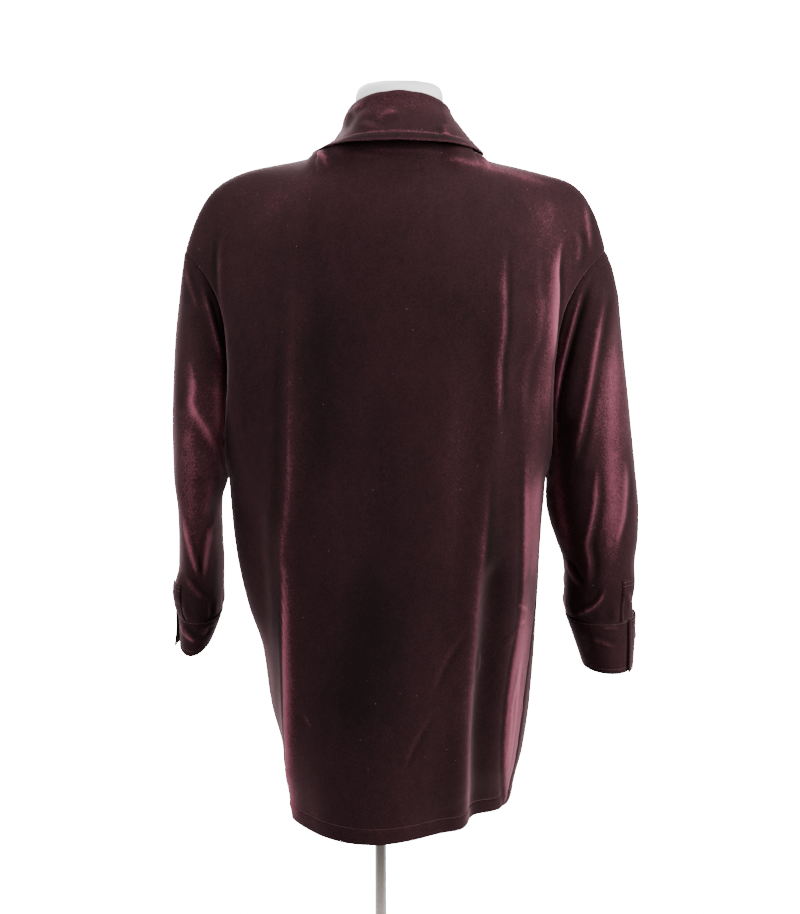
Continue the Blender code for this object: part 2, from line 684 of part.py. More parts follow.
def fall_edge(turn):
    degrees = np.degrees(turn)
    folded = np.where(degrees > 90, 180 - degrees, degrees)
    side = np.where(degrees > 90, -1.0, 1.0)
    knots = column(FALL_COLUMNS_OF, FALL_EDGE_ROWS, "turn")
    x = curve(knots, column(FALL_COLUMNS_OF, FALL_EDGE_ROWS, "across"), folded) * side
    y = curve(knots, column(FALL_COLUMNS_OF, FALL_EDGE_ROWS, "depth"), folded)
    z = curve(knots, column(FALL_COLUMNS_OF, FALL_EDGE_ROWS, "height"), folded)
    return np.stack([x, y, z], axis=-1)


def build_collar():
    # the stand takes the same points along the neck as the panels, short of the front lap
    past = math.asin(LAP_HALF / NECK_HALF)
    front = np.linspace(-math.pi / 2 - past, 0, FRONT_NECK_COLUMNS + 1)[1:]
    round_back = np.linspace(0, math.pi, NECK_COLUMNS + 1)[1:]
    turn = np.concatenate([front, round_back, math.pi - front[::-1][1:]])
    stand = np.array([stand_ring(v, turn) for v in np.linspace(0, 1, 4)])
    n_stand = grid_normals(stand, False)
    if np.sum((stand - np.array([0, 0, 1.47])) * n_stand) < 0:
        n_stand = -n_stand
    sheet_solid("collar_stand", lean(stand), lean(stand - n_stand * WALL), False)
    turn = np.linspace(-math.pi / 2 + FALL_OPEN, 1.5 * math.pi - FALL_OPEN, 31)
    top = stand_ring(1.0, turn)
    out = unit(np.stack([np.cos(turn), np.sin(turn), 0 * turn], axis=-1))
    up = np.array([0.0, 0.0, 1.0])
    edge = fall_edge(turn)
    # the leaf starts just above the stand, rolls over and hangs down to its edge
    rows = [top + up * 0.0006 - out * 0.0002]
    rows.append(top + up * FALL_ROLL * 0.62 + out * 0.0006)
    rows.append(top + up * FALL_ROLL + out * 0.0036)
    rows.append(top + up * FALL_ROLL * 0.62 + out * 0.0072)
    start = top - up * 0.001 + out * 0.0098
    rows.append(start)
    for f in (0.33, 0.67, 1.0):
        lift = -0.001 - 0.009 * f * np.maximum(np.cos(turn), 0) ** 2 + 0.009 * smooth(-np.sin(turn) * 1.2)
        lift = lift[:, None] * math.sin(math.pi * f)
        rows.append(start + (edge - start) * f + out * lift + up * lift * 0.5)
    fall = np.array(rows)
    n_fall = grid_normals(fall, False)
    if np.sum(out * n_fall[-2]) < 0:
        n_fall = -n_fall
    sheet_solid("collar_fall", lean(fall), lean(fall - n_fall * WALL), False)


def build_cuff(name, side, rows, end):
    start = end - CUFF_OVERLAP
    psi = np.linspace(start, end + 2 * math.pi, CUFF_COLUMNS + 1)
    levels = np.linspace(0, 1, 4)
    grid = np.array([sleeve_ring(tuple(r[:7] + (0.0,) for r in rows), v, psi, side) for v in levels])
    sag = np.array([curve(np.linspace(0, 1, len(rows)), column(SLEEVE_COLUMNS_OF, rows, "bow"), v)
                    for v in levels])
    grid[..., 2] -= sag[:, None] * np.sin(psi)[None, :] ** 2
    centre = grid.mean(axis=1, keepdims=True)
    normals = grid_normals(grid, False)
    if np.sum((grid - centre) * normals) < 0:
        normals = -normals
    lift = CUFF_LAYER * smooth((psi - (2 * math.pi + start - 0.75)) / 0.55)
    grid = grid + normals * lift[None, :, None]
    grid[0, :, 2] -= SEAM_GAP
    inner = grid - normals * WALL
    sheet_solid(name, lean(grid), lean(inner), False)
    return grid, normals, psi


def strip_on(name, grid, normals, lift, wall):
    outer = grid + normals * (lift + wall)
    inner = grid + normals * lift
    sheet_solid(name, lean(outer), lean(inner), False)
    return outer


def build():
    for thing in list(bpy.data.objects):
        bpy.data.objects.remove(thing, do_unlink=True)
    half_gap = SEAM_GAP / 2
    back, n_back, left, n_left, right, n_right = build_body()
    sleeves = {}
    for side, folds in ((1, LEFT_SLEEVE_FOLDS), (-1, RIGHT_SLEEVE_FOLDS)):
        grid, normals = sleeve_grid(side, folds)
        ring = normals[0]
        back_part = slice(UP_ROWS, None, -1)
        front_index = [UP_ROWS] + list(range(UP_ROWS + 1, 2 * UP_ROWS)) + [0]
        up = slice(LOW_ROWS, None)
        back_column = -1 if side > 0 else 0
        n_front = n_left if side > 0 else n_right
        ring_back = ring[UP_ROWS::-1].copy()
        ring_front = ring[front_index].copy()
        n_back[up, back_column], new_back = share_armhole(n_back[up, back_column], ring_back)
        n_front[up, -1], new_front = share_armhole(n_front[up, -1], ring_front)
        shared_tip = unit(new_back[-1] + new_front[-1])
        n_back[-1, back_column] = shared_tip
        n_front[-1, -1] = shared_tip
        ring[UP_ROWS::-1] = new_back
        ring[front_index] = new_front
        ring[0] = shared_tip
        ring[UP_ROWS] = unit(new_back[0] + new_front[0])
        sleeves[side] = (grid, normals)

    # body panels with their walls, the lap of the right front set inwards
    panels = {}
    sheets = (("back", back, n_back), ("front_left", left, n_left), ("front_right", right, n_right))
    for name, grid, normals in sheets:
        outer = grid.copy()
        if name == "front_right":
            under = smooth((outer[..., 0] + 0.062) / 0.028)
            drop = hem_walls(grid[..., 2]) + LAP_GAP
            outer = outer - normals * (drop * under)[..., None]
        inner = outer - normals * hem_walls(grid[..., 2])[..., None]
        if name == "back":
            inset(outer, inner, FIRST_COLUMN, half_gap)
        inset(outer, inner, LAST_COLUMN, half_gap)
        inset(outer, inner, LAST_ROW, half_gap)
        panels[name] = (outer, inner)
        sheet_solid(name, lean(outer), lean(inner), False)

    # button band and buttons on the edge of the left front
    outer = panels["front_left"][0]
    rows = slice(0, outer.shape[0])
    across = np.linspace(-LAP_HALF + 0.0006, LAP_HALF, 4)
    band = np.zeros((outer.shape[0], 4, 3))
    band_n = np.zeros_like(band)
    for r in range(outer.shape[0]):
        for i, x in enumerate(across):
            for axis in range(3):
                band[r, i, axis] = np.interp(x, outer[r, :, 0], outer[r, :, axis])
                band_n[r, i, axis] = np.interp(x, outer[r, :, 0], n_left[r, :, axis])
    band_n = unit(band_n)
    inset(band, band_n, LAST_ROW, 0.0012)
    band_outer = strip_on("front_band", band, band_n, SEAM_GAP, STRIP_WALL)
    middle = (band_outer[:, 1] + band_outer[:, 2]) / 2
    middle_n = unit(band_n[:, 1] + band_n[:, 2])
    for i in range(BUTTON_COUNT):
        z = BUTTON_TOP_Z + (BUTTON_BOTTOM_Z - BUTTON_TOP_Z) * i / (BUTTON_COUNT - 1)
        order = np.argsort(middle[:, 2])
        centre = np.array([np.interp(z, middle[order, 2], middle[order, a]) for a in range(3)])
        normal = unit(np.array([np.interp(z, middle[order, 2], middle_n[order, a]) for a in range(3)]))
        button("front_button_%d" % (i + 1), lean(centre + normal * BUTTON_LIFT), normal)

    # sleeves, cuffs, plackets and cuff buttons
    for side, word, cuff_rows, end in ((1, "left", CUFF_LEFT_ROWS, CUFF_LEFT_END),
                                       (-1, "right", CUFF_RIGHT_ROWS, CUFF_RIGHT_END)):
        grid, normals = sleeves[side]
        outer = grid.copy()
        inner = outer - normals * WALL
        inset(outer, inner, FIRST_ROW, half_gap)
        inset(outer, inner, LAST_ROW, half_gap)
        sheet_solid("sleeve_" + word, lean(outer), lean(inner), True)
        cuff, cuff_n, psi = build_cuff("cuff_" + word, side, cuff_rows, end)
        strip = grid[-5:, 2:5].copy()
        strip_n = normals[-5:, 2:5]
        strip_on("placket_" + word, strip, strip_n, PLACKET_LIFT, STRIP_WALL)
        at = int(np.argmin(np.abs(psi - (2 * math.pi - math.radians(14)))))
        centre = (cuff[1, at] + cuff[2, at]) / 2
        normal = unit(cuff_n[1, at] + cuff_n[2, at])
        button("cuff_button_" + word, lean(centre + normal * BUTTON_LIFT), normal)

    build_collar()

    # dress form
    heights = [row[0] for row in FORM_ROWS]
    angle = np.linspace(0, 2 * math.pi, FORM_SEGMENTS, endpoint=False)
    verts = []
    for height, half, back_d, front_d, power in FORM_ROWS:
        deep = np.where(np.sin(angle) > 0, back_d, front_d)
        ring = np.stack([half * rounded(np.cos(angle), power), deep * rounded(np.sin(angle), power),
                         height + 0 * angle], axis=-1)
        verts.append(lean(ring))
    verts = np.array(verts).reshape(-1, 3)
    faces = []
    n = FORM_SEGMENTS
    for ring in range(len(heights) - 1):
        for i in range(n):
            j = (i + 1) % n
            faces.append((ring * n + i, ring * n + j, (ring + 1) * n + j, (ring + 1) * n + i))
    smooth_count = len(faces)
    faces.append(tuple(range(n)))
    faces.append(tuple((len(heights) - 1) * n + i for i in range(n)))
    make_object("form", verts, faces, smooth_count, SHELL, 0.45, 0.0)

    # stand
    socket_top = FORM_BOTTOM_Z - SEAM_GAP
    socket_low = socket_top - FORM_SOCKET_H
    lathe("form_socket", ((FORM_SOCKET_R - 0.004, socket_low), (FORM_SOCKET_R, socket_low + 0.003),
                          (FORM_SOCKET_R, socket_top)), 28, STEEL, 0.2, 1.0)
    lathe("pole", ((POLE_R, BASE_SOCKET_Z + SEAM_GAP), (POLE_R, socket_low - SEAM_GAP)),
          24, STEEL, 0.12, 1.0)
    lathe("base_socket", ((BASE_SOCKET_R, BASE_THICK + SEAM_GAP),
                          (BASE_SOCKET_R, BASE_SOCKET_Z - 0.008),
                          (POLE_R + 0.003, BASE_SOCKET_Z)), 28, STEEL, 0.2, 1.0)
    lathe("base_plate", ((BASE_R - BASE_BEVEL, 0.0), (BASE_R, BASE_BEVEL),
                         (BASE_R, BASE_THICK - BASE_BEVEL), (BASE_R - BASE_BEVEL, BASE_THICK)),
          48, STEEL, 0.3, 1.0)


build()
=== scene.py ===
import math
import bmesh
import bpy
import numpy as np
from bpy.props import FloatProperty, FloatVectorProperty, PointerProperty
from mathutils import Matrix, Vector, noise


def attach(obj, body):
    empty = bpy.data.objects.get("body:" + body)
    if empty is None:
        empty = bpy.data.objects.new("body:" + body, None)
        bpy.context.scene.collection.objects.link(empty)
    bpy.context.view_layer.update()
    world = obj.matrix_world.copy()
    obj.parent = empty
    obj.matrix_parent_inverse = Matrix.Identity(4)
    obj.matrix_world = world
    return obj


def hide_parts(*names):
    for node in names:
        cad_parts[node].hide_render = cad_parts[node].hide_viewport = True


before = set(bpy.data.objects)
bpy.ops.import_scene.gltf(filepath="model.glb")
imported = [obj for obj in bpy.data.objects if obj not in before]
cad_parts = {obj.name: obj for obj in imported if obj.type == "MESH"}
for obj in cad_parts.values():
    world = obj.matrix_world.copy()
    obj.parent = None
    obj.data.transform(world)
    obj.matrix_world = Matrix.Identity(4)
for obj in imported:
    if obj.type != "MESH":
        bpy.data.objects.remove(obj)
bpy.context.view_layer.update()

# Dressed look of a velvet jacket on a limbless display form, in metres, +Z up.
# The front of the jacket faces -Y, its back faces +Y, the wearer's left is +X.
# Heights are above the floor. Across is measured from the jacket's own centre
# line, which leans a little with the form.

bl_info = {
    "name": "Velvet jacket on a dress form",
    "version": (1, 0, 0),
    "blender": (4, 5, 0),
    "location": "3D View > Sidebar > Jacket",
    "description": "Builds the cloth, stitching, buttons, form, stand and stage of a velvet jacket",
    "category": "Object",
}

# how finely the cloth is divided
HEM_ROWS = 24
LOW_ROWS = 124
UP_ROWS = 96
NECK_COLUMNS = 72
SHOULDER_COLUMNS = 54
FRONT_NECK_COLUMNS = 30
SLEEVE_RINGS = 140
CUFF_COLUMNS = 240
CUFF_ROWS = 44
FALL_COLUMNS = 260
FALL_ROWS = 56

# jacket sizes shared with the solids
HEM_Z = 0.617
UNDERARM_Z = 1.055
LEAN_PER_METRE = -0.0275
LEAN_FROM_Z = 0.62
LAP_HALF = 0.0175
LAP_GAP = 0.0006
UPPER_POWER = 2.6
NECK_EASE = 30.0
NECK_TURN = math.radians(70.0)

BODY_FIELDS = ("height", "left", "right", "back", "front", "power", "right_power", "forward",
                "seam")
BODY_ROWS = (
    (0.617, 0.1120, 0.1680, 0.1330, 0.1500, 2.2, 1.46, -0.014, 18.0),
    (0.645, 0.1135, 0.1725, 0.1330, 0.1500, 2.2, 1.53, -0.016, 18.0),
    (0.687, 0.1235, 0.1835, 0.1325, 0.1490, 2.2, 1.72, -0.022, 19.0),
    (0.755, 0.1435, 0.1900, 0.1315, 0.1470, 2.2, 1.85, -0.018, 19.0),
    (0.836, 0.1565, 0.1920, 0.1300, 0.1440, 2.2, 2.00, -0.014, 16.0),
    (0.889, 0.1742, 0.1920, 0.1290, 0.1420, 2.2, 2.10, -0.009, 11.0),
    (0.968, 0.1909, 0.1922, 0.1275, 0.1400, 2.3, 2.25, -0.003, 4.0),
    (1.055, 0.1995, 0.1948, 0.1265, 0.1380, 2.4, 2.40, 0.000, 0.0),
)

SHOULDER_FIELDS = ("across", "depth", "left_height", "right_height")
SHOULDER_ROWS = (
    (0.0810, -0.006, 1.4515, 1.4515),
    (0.1100, -0.006, 1.4405, 1.4385),
    (0.1500, -0.006, 1.4325, 1.4290),
    (0.1770, -0.006, 1.4270, 1.4222),
    (0.2050, -0.005, 1.4155, 1.4140),
    (0.2210, -0.004, 1.4035, 1.4030),
    (0.2310, -0.003, 1.3905, 1.3905),
    (0.2425, -0.002, 1.3680, 1.3695),
    (0.2510, -0.001, 1.3440, 1.3460),
    (0.2550, 0.000, 1.3320, 1.3320),
)

NECK_HALF = 0.081
NECK_DEPTH = 0.078
NECK_DEPTH_AT = -0.006
NECK_Z = 1.4515
NECK_TILT = 0.033
NECK_SAG = 0.0135

# sleeves: each row is one section, outer edge then inner edge
SLEEVE_FIELDS = ("outer", "outer_z", "inner", "inner_z", "half_depth", "depth", "power",
                     "bow")
SLEEVE_LEFT_ROWS = (
    (0.2550, 1.332, 0.1995, 1.055, 0.056, 0.000, 2.2, 0.030),
    (0.2585, 1.308, 0.2000, 1.0525, 0.063, 0.000, 2.2, 0.024),
    (0.2620, 1.271, 0.2006, 1.0500, 0.069, 0.000, 2.2, 0.015),
    (0.2665, 1.222, 0.2012, 1.0465, 0.076, 0.000, 2.2, 0.010),
    (0.2678, 1.172, 0.2022, 1.0420, 0.080, 0.000, 2.2, 0.003),
    (0.2680, 1.122, 0.2040, 1.0360, 0.083, 0.000, 2.2, 0.000),
    (0.2668, 1.064, 0.2085, 1.0230, 0.084, 0.000, 2.2, 0.000),
    (0.2615, 1.018, 0.2102, 1.0020, 0.083, 0.000, 2.2, 0.000),
    (0.2602, 0.975, 0.2090, 0.9700, 0.080, 0.000, 2.2, 0.000),
    (0.2612, 0.940, 0.2070, 0.9400, 0.074, 0.000, 2.2, 0.000),
    (0.2665, 0.915, 0.2068, 0.9150, 0.066, 0.000, 2.2, 0.000),
    (0.2672, 0.898, 0.2068, 0.8950, 0.060, 0.000, 2.2, 0.000),
    (0.2620, 0.878, 0.2078, 0.8760, 0.054, 0.000, 2.2, 0.000),
)
SLEEVE_RIGHT_ROWS = (
    (0.2550, 1.332, 0.1948, 1.055, 0.056, 0.000, 2.2, 0.030),
    (0.2655, 1.308, 0.1954, 1.0525, 0.060, 0.000, 2.2, 0.024),
    (0.2738, 1.271, 0.1959, 1.0495, 0.064, 0.000, 2.2, 0.015),
    (0.2815, 1.222, 0.1964, 1.0450, 0.066, 0.000, 2.2, 0.010),
    (0.2892, 1.172, 0.1967, 1.0390, 0.066, 0.000, 2.2, 0.003),
    (0.2970, 1.122, 0.1967, 1.0310, 0.064, 0.000, 2.2, 0.000),
    (0.3060, 1.064, 0.1980, 1.0140, 0.061, 0.000, 2.2, 0.000),
    (0.3130, 1.010, 0.2035, 0.9920, 0.058, 0.000, 2.2, 0.000),
    (0.3143, 0.975, 0.2130, 0.9680, 0.055, 0.000, 2.2, 0.000),
    (0.3124, 0.942, 0.2225, 0.9420, 0.052, 0.000, 2.2, 0.000),
    (0.3146, 0.915, 0.2251, 0.9150, 0.051, 0.000, 2.2, 0.000),
    (0.3130, 0.892, 0.2251, 0.8920, 0.049, 0.000, 2.2, 0.000),
    (0.3152, 0.872, 0.2290, 0.8720, 0.044, 0.000, 2.2, 0.000),
)

# cuffs: same columns as the sleeves, bow is how far the back hangs lower
CUFF_LEFT_ROWS = (
    (0.2620, 0.878, 0.2078, 0.8760, 0.054, 0.000, 2.2, 0.000),
    (0.2600, 0.858, 0.2130, 0.8590, 0.052, 0.002, 2.1, 0.003),
    (0.2595, 0.838, 0.2195, 0.8420, 0.050, 0.004, 2.0, 0.007),
)
CUFF_RIGHT_ROWS = (
    (0.3152, 0.872, 0.2290, 0.8720, 0.044, 0.000, 2.2, 0.000),
    (0.3160, 0.840, 0.2415, 0.8400, 0.042, 0.000, 2.1, 0.000),
    (0.3155, 0.803, 0.2540, 0.8060, 0.040, 0.000, 2.0, 0.000),
)
CUFF_OVERLAP = math.radians(42.0)
CUFF_LEFT_END = math.radians(24.0)
CUFF_RIGHT_END = math.radians(44.0)
CUFF_LAYER = 0.0026

# collar stand and fall
STAND_TOP_HALF = 0.0550
STAND_TOP_DEPTH = 0.0620
STAND_TOP_DEPTH_AT = -0.006
STAND_TOP_Z = 1.4935
STAND_TOP_TILT = 0.0380
STAND_TOP_SAG = 0.0215
STAND_LIFT = 0.0008
FALL_OPEN = math.radians(7.0)
FALL_ROLL = 0.0085
FALL_FIELDS = ("turn", "across", "depth", "height")
FALL_EDGE_ROWS = (
    (-83.0, 0.0560, -0.1270, 1.3640),
    (-60.0, 0.0830, -0.1090, 1.3960),
    (-30.0, 0.1010, -0.0600, 1.4350),
    (0.0, 0.1030, -0.0050, 1.4495),
    (30.0, 0.0900, 0.0480, 1.4565),
    (60.0, 0.0540, 0.0840, 1.4640),
    (90.0, 0.0000, 0.0965, 1.4665),
)

# big folds, in metres: the rise, its width to the left and to the right as seen from
# behind, and its path as (height, across); a negative rise is a hollow
BACK_FOLDS = (
    (0.0060, 0.018, 0.016, ((1.33, 0.116), (1.15, 0.120), (1.02, 0.130), (0.88, 0.127),
                            (0.75, 0.121), (0.62, 0.112))),
    (-0.0050, 0.018, 0.018, ((1.05, 0.165), (0.95, 0.152), (0.88, 0.146), (0.75, 0.134),
                             (0.68, 0.126))),
    (0.0060, 0.016, 0.016, ((1.33, -0.128), (1.15, -0.122), (1.02, -0.112), (0.90, -0.106),
                            (0.78, -0.098), (0.62, -0.098))),
    (-0.0105, 0.015, 0.015, ((0.98, -0.130), (0.86, -0.126), (0.75, -0.122), (0.62, -0.126))),
    (0.0045, 0.016, 0.018, ((1.20, -0.155), (1.02, -0.160), (0.90, -0.156), (0.80, -0.150),
                            (0.62, -0.156))),
)
RIGHT_SLEEVE_FOLDS = (
    (0.0040, 0.012, 0.016, ((1.30, -0.240), (1.24, -0.231), (1.18, -0.218), (1.12, -0.208))),
    (0.0050, 0.014, 0.016, ((1.30, -0.256), (1.22, -0.248), (1.14, -0.238), (1.06, -0.226))),
)
LEFT_SLEEVE_FOLDS = (
    (0.0040, 0.014, 0.012, ((1.28, 0.236), (1.22, 0.226), (1.16, 0.214), (1.11, 0.206))),
    (0.0040, 0.014, 0.014, ((1.15, 0.246), (1.10, 0.240), (1.06, 0.222))),
)

# a path that ends below this height runs out through the hem and doesn't fade there
RUNS_OUT_Z = 0.64
# share of a path over which it fades at its ends
FOLD_FADE = 0.12
CREASE_FADE = 0.3

# how the cloth eases where it is held: rows or columns of points
ARMHOLE_ROWS = 14
ARMHOLE_COLUMNS = 9.0
NECK_ROWS = 5.0
SIDE_COLUMNS = 24.0

# widths of the grooves and gathers beside a seam or a stitched line
SEAM_GROOVE = 0.0026
CUFF_SEAM_GROOVE = 0.0022
HEM_GROOVE = 0.0016
STITCH_GROOVE = 0.0014
PUCKER_REACH = 0.011

# dress form
FORM_FIELDS = ("height", "half", "back", "front", "power")
FORM_ROWS = (
    (0.752, 0.085, 0.075, 0.085, 2.0),
    (0.754, 0.108, 0.092, 0.102, 2.1),
    (0.764, 0.122, 0.102, 0.110, 2.2),
    (0.800, 0.137, 0.108, 0.114, 2.2),
    (0.870, 0.151, 0.110, 0.114, 2.2),
    (0.940, 0.147, 0.103, 0.107, 2.2),
    (1.010, 0.139, 0.095, 0.103, 2.2),
    (1.090, 0.148, 0.099, 0.108, 2.2),
    (1.190, 0.166, 0.106, 0.116, 2.2),
    (1.270, 0.178, 0.107, 0.113, 2.2),
    (1.330, 0.192, 0.098, 0.100, 2.1),
    (1.375, 0.202, 0.082, 0.082, 2.0),
    (1.398, 0.200, 0.068, 0.070, 2.0),
    (1.412, 0.190, 0.058, 0.064, 1.9),
    (1.4215, 0.165, 0.056, 0.062, 1.7),
    (1.4285, 0.132, 0.055, 0.054, 1.6),
    (1.4360, 0.096, 0.055, 0.051, 1.7),
    (1.4470, 0.069, 0.054, 0.052, 1.9),
    (1.4620, 0.0560, 0.053, 0.055, 2.0),
    (1.4900, 0.0515, 0.051, 0.056, 2.0),
    (1.5120, 0.0522, 0.051, 0.055, 2.0),
    (1.5220, 0.0492, 0.047, 0.051, 2.0),
    (1.5290, 0.0395, 0.038, 0.041, 2.0),
    (1.5325, 0.0200, 0.019, 0.020, 2.0),
)

# stand
POLE_R = 0.0075
BASE_R = 0.160
BASE_THICK = 0.010
BASE_SOCKET_R = 0.022
BASE_SOCKET_Z = 0.045
FORM_SOCKET_R = 0.030
FORM_SOCKET_H = 0.018
FORM_BOTTOM_Z = 0.752

# button band, buttons and plackets
BUTTON_R = 0.0058
BUTTON_THICK = 0.0026
BUTTON_LIFT = 0.0004
BUTTON_TOP_Z = 1.345
BUTTON_BOTTOM_Z = 0.715
BUTTON_COUNT = 7
STRIP_WALL = 0.0012
BAND_STITCH = 0.0055
HOLE_STEPS = 40
HOLE_HALF_LENGTH = 0.0088
HOLE_HALF_WIDTH = 0.0011
THREAD_HOLE_AT = 0.00115
STRAND_APART = 0.00016
STRAND_R = 0.00019
HEM_TURN_UP = 0.020

# smaller creases: the ridge's rise, its width to the left and to the right as seen from
# behind and the dip on either side, in millimetres, then its share of painted highlight,
# painted shade where it is below zero, and its path as (height, across) in metres; one
# that doesn't rise carries only its painted highlight or its painted shade
BACK_CREASES = (
    (1.8, 4, 6, 0, -1, 0.22, ((1.453, 0.095), (1.444, 0.085), (1.428, 0.078))),
    (1.3, 3, 5, 0, -0.8, 0.18, ((1.453, -0.088), (1.427, -0.112))),
    (1, 3, 4, 0, -0.6, 0.14, ((1.456, 0.055), (1.453, 0.030), (1.452, -0.030), (1.448, -0.060))),
    (0, 45, 40, 0, 0, 0.1, ((1.425, -0.130), (1.370, -0.180), (1.300, -0.195), (1.200, -0.195))),
    (0, 30, 24, 0, 0, 0.16, ((1.220, -0.172), (1.050, -0.172), (0.900, -0.177))),
    (0, 20, 22, 0, 0, 0.4, ((0.950, -0.175), (0.800, -0.170), (0.620, -0.166))),
    (0, 42, 42, 0, 0, 0.11, ((1.435, 0.050), (1.405, 0.130), (1.360, 0.180))),
    (0, 55, 55, 0, 0, 0.05, ((1.425, -0.100), (1.400, 0.000), (1.420, 0.100))),
    (0, 20, 26, 0, 0, 0.1, ((0.900, 0.118), (0.780, 0.116), (0.630, 0.106))),
    (0, 40, 40, 0, 0, -0.12, ((1.300, 0.090), (1.200, 0.085), (1.050, 0.080))),
    (0, 60, 60, 0, 0, -0.15, ((1.000, 0.020), (0.720, 0.040))),
    (9, 15, 15, 0, 0, 0.1, ((1.432, 0.112), (1.446, 0.094), (1.449, 0.072), (1.444, 0.048))),
    (8, 15, 15, 0, 0, 0.08, ((1.432, -0.112), (1.446, -0.094), (1.449, -0.072), (1.444, -0.048))),
    (1.8, 1.5, 6, -1.2, 0, 0.42, ((0.985, 0.122), (0.755, 0.116), (0.687, 0.113), (0.617, 0.107))),
    (0, 18, 2, 0, 0, -0.2, ((0.960, 0.128), (0.755, 0.123), (0.687, 0.120), (0.625, 0.115))),
    (3, 8, 3, 0, -2, 0.42, ((1.357, -0.200), (1.331, -0.193), (1.311, -0.191), (1.279, -0.193),
        (1.195, -0.191))),
    (0, 26, 3, 0, 0, 0.22, ((1.348, -0.196), (1.290, -0.192), (1.097, -0.187))),
    (0, 18, 6, 0, 0, 0.26, ((1.098, -0.184), (1.032, -0.184), (0.951, -0.187), (0.898, -0.185))),
    (1.4, 3, 14, -1.2, 0, 0.28, ((1.116, -0.158), (0.923, -0.165), (0.846, -0.160))),
    (1.6, 2, 20, -1.4, 0, 0.3, ((0.911, -0.166), (0.781, -0.153), (0.720, -0.152),
        (0.617, -0.159))),
    (0.7, 14, 3, 0, -0.5, 0.24, ((1.120, -0.114), (1.047, -0.115), (0.817, -0.108),
        (0.734, -0.107),
        (0.630, -0.112))),
    (0, 3, 20, 0, 0, -0.18, ((1.120, -0.120), (1.047, -0.120), (0.814, -0.113), (0.730, -0.113),
        (0.623, -0.118))),
    (1.5, 3, 5, -1.5, 0, 0.2, ((1.369, 0.203), (1.330, 0.207), (1.295, 0.207), (1.241, 0.201),
        (1.195, 0.194))),
    (0.9, 2.5, 3, 0, -0.8, 0.16, ((0.851, -0.145), (0.878, -0.164))),
    (0.8, 3, 3, -0.5, 0, 0.18, ((0.777, 0.097), (0.758, 0.085))),
    (2.2, 8, 3, 0, -1.8, 0.28, ((1.356, -0.134), (1.326, -0.128), (1.249, -0.128), (1.208, -0.124),
        (1.119, -0.127))),
    (1.8, 7, 5, 0, -0.8, 0.07, ((1.349, -0.169), (1.304, -0.167), (1.269, -0.173), (1.228, -0.167),
        (1.206, -0.158), (1.165, -0.154), (1.117, -0.154))),
    (2, 6, 4, 0, -1.5, 0.12, ((1.361, -0.211), (1.341, -0.218), (1.326, -0.217), (1.313, -0.210))),
    (1.6, 5, 4, 0, -1.2, 0.26, ((1.393, -0.223), (1.370, -0.228), (1.329, -0.234))),
    (1.5, 4, 4, 0, 0, 0.2, ((0.856, -0.114), (0.840, -0.120), (0.820, -0.118))),
    (1, 2, 2, -0.6, -0.8, 0.36, ((0.845, -0.170), (0.800, -0.165), (0.769, -0.159),
        (0.707, -0.157),
        (0.676, -0.151))),
    (1, 2, 2, 0, -0.8, 0.34, ((0.836, -0.173), (0.784, -0.167), (0.722, -0.163), (0.660, -0.155))),
    (0.8, 2, 2, -0.6, 0, 0.26, ((0.908, -0.156), (0.893, -0.175))),
    (0.8, 2, 2, -0.6, 0, 0.26, ((0.884, -0.159), (0.876, -0.174))),
    (1.2, 5, 3, 0, -0.8, 0.12, ((0.890, -0.097), (0.840, -0.069), (0.813, -0.059),
        (0.805, -0.049))),
    (1.2, 5, 3, 0, -0.8, 0.12, ((0.790, -0.064), (0.745, -0.038), (0.707, -0.023))),
    (1.9, 7, 9, -1.3, 0, 0.25, ((1.340, 0.117), (1.096, 0.117), (1.047, 0.118), (0.991, 0.123),
        (0.922, 0.119), (0.734, 0.115), (0.634, 0.107))),
    (0, 8, 5, 0, 0, 0.3, ((0.735, 0.124), (0.690, 0.121), (0.640, 0.115))),
    (1.8, 3, 4, 0, -1.4, 0.26, ((1.440, 0.097), (1.443, 0.088), (1.439, 0.075))),
    (1, 3, 3, 0, -0.8, 0.12, ((1.451, 0.055), (1.447, 0.041), (1.446, 0.020))),
    (1.2, 4, 4, 0, -0.8, 0.2, ((1.444, -0.049), (1.431, -0.102))),
    (0, 8, 14, 0, 0, 0.22, ((1.436, -0.075), (1.433, -0.102), (1.422, -0.146), (1.405, -0.194))),
    (0, 60, 60, 0, 0, -0.06, ((1.250, 0.006), (0.700, 0.001))),
    (0, 25, 25, 0, 0, 0.07, ((1.250, -0.068), (1.145, -0.075), (1.024, -0.076), (0.926, -0.071))),
)
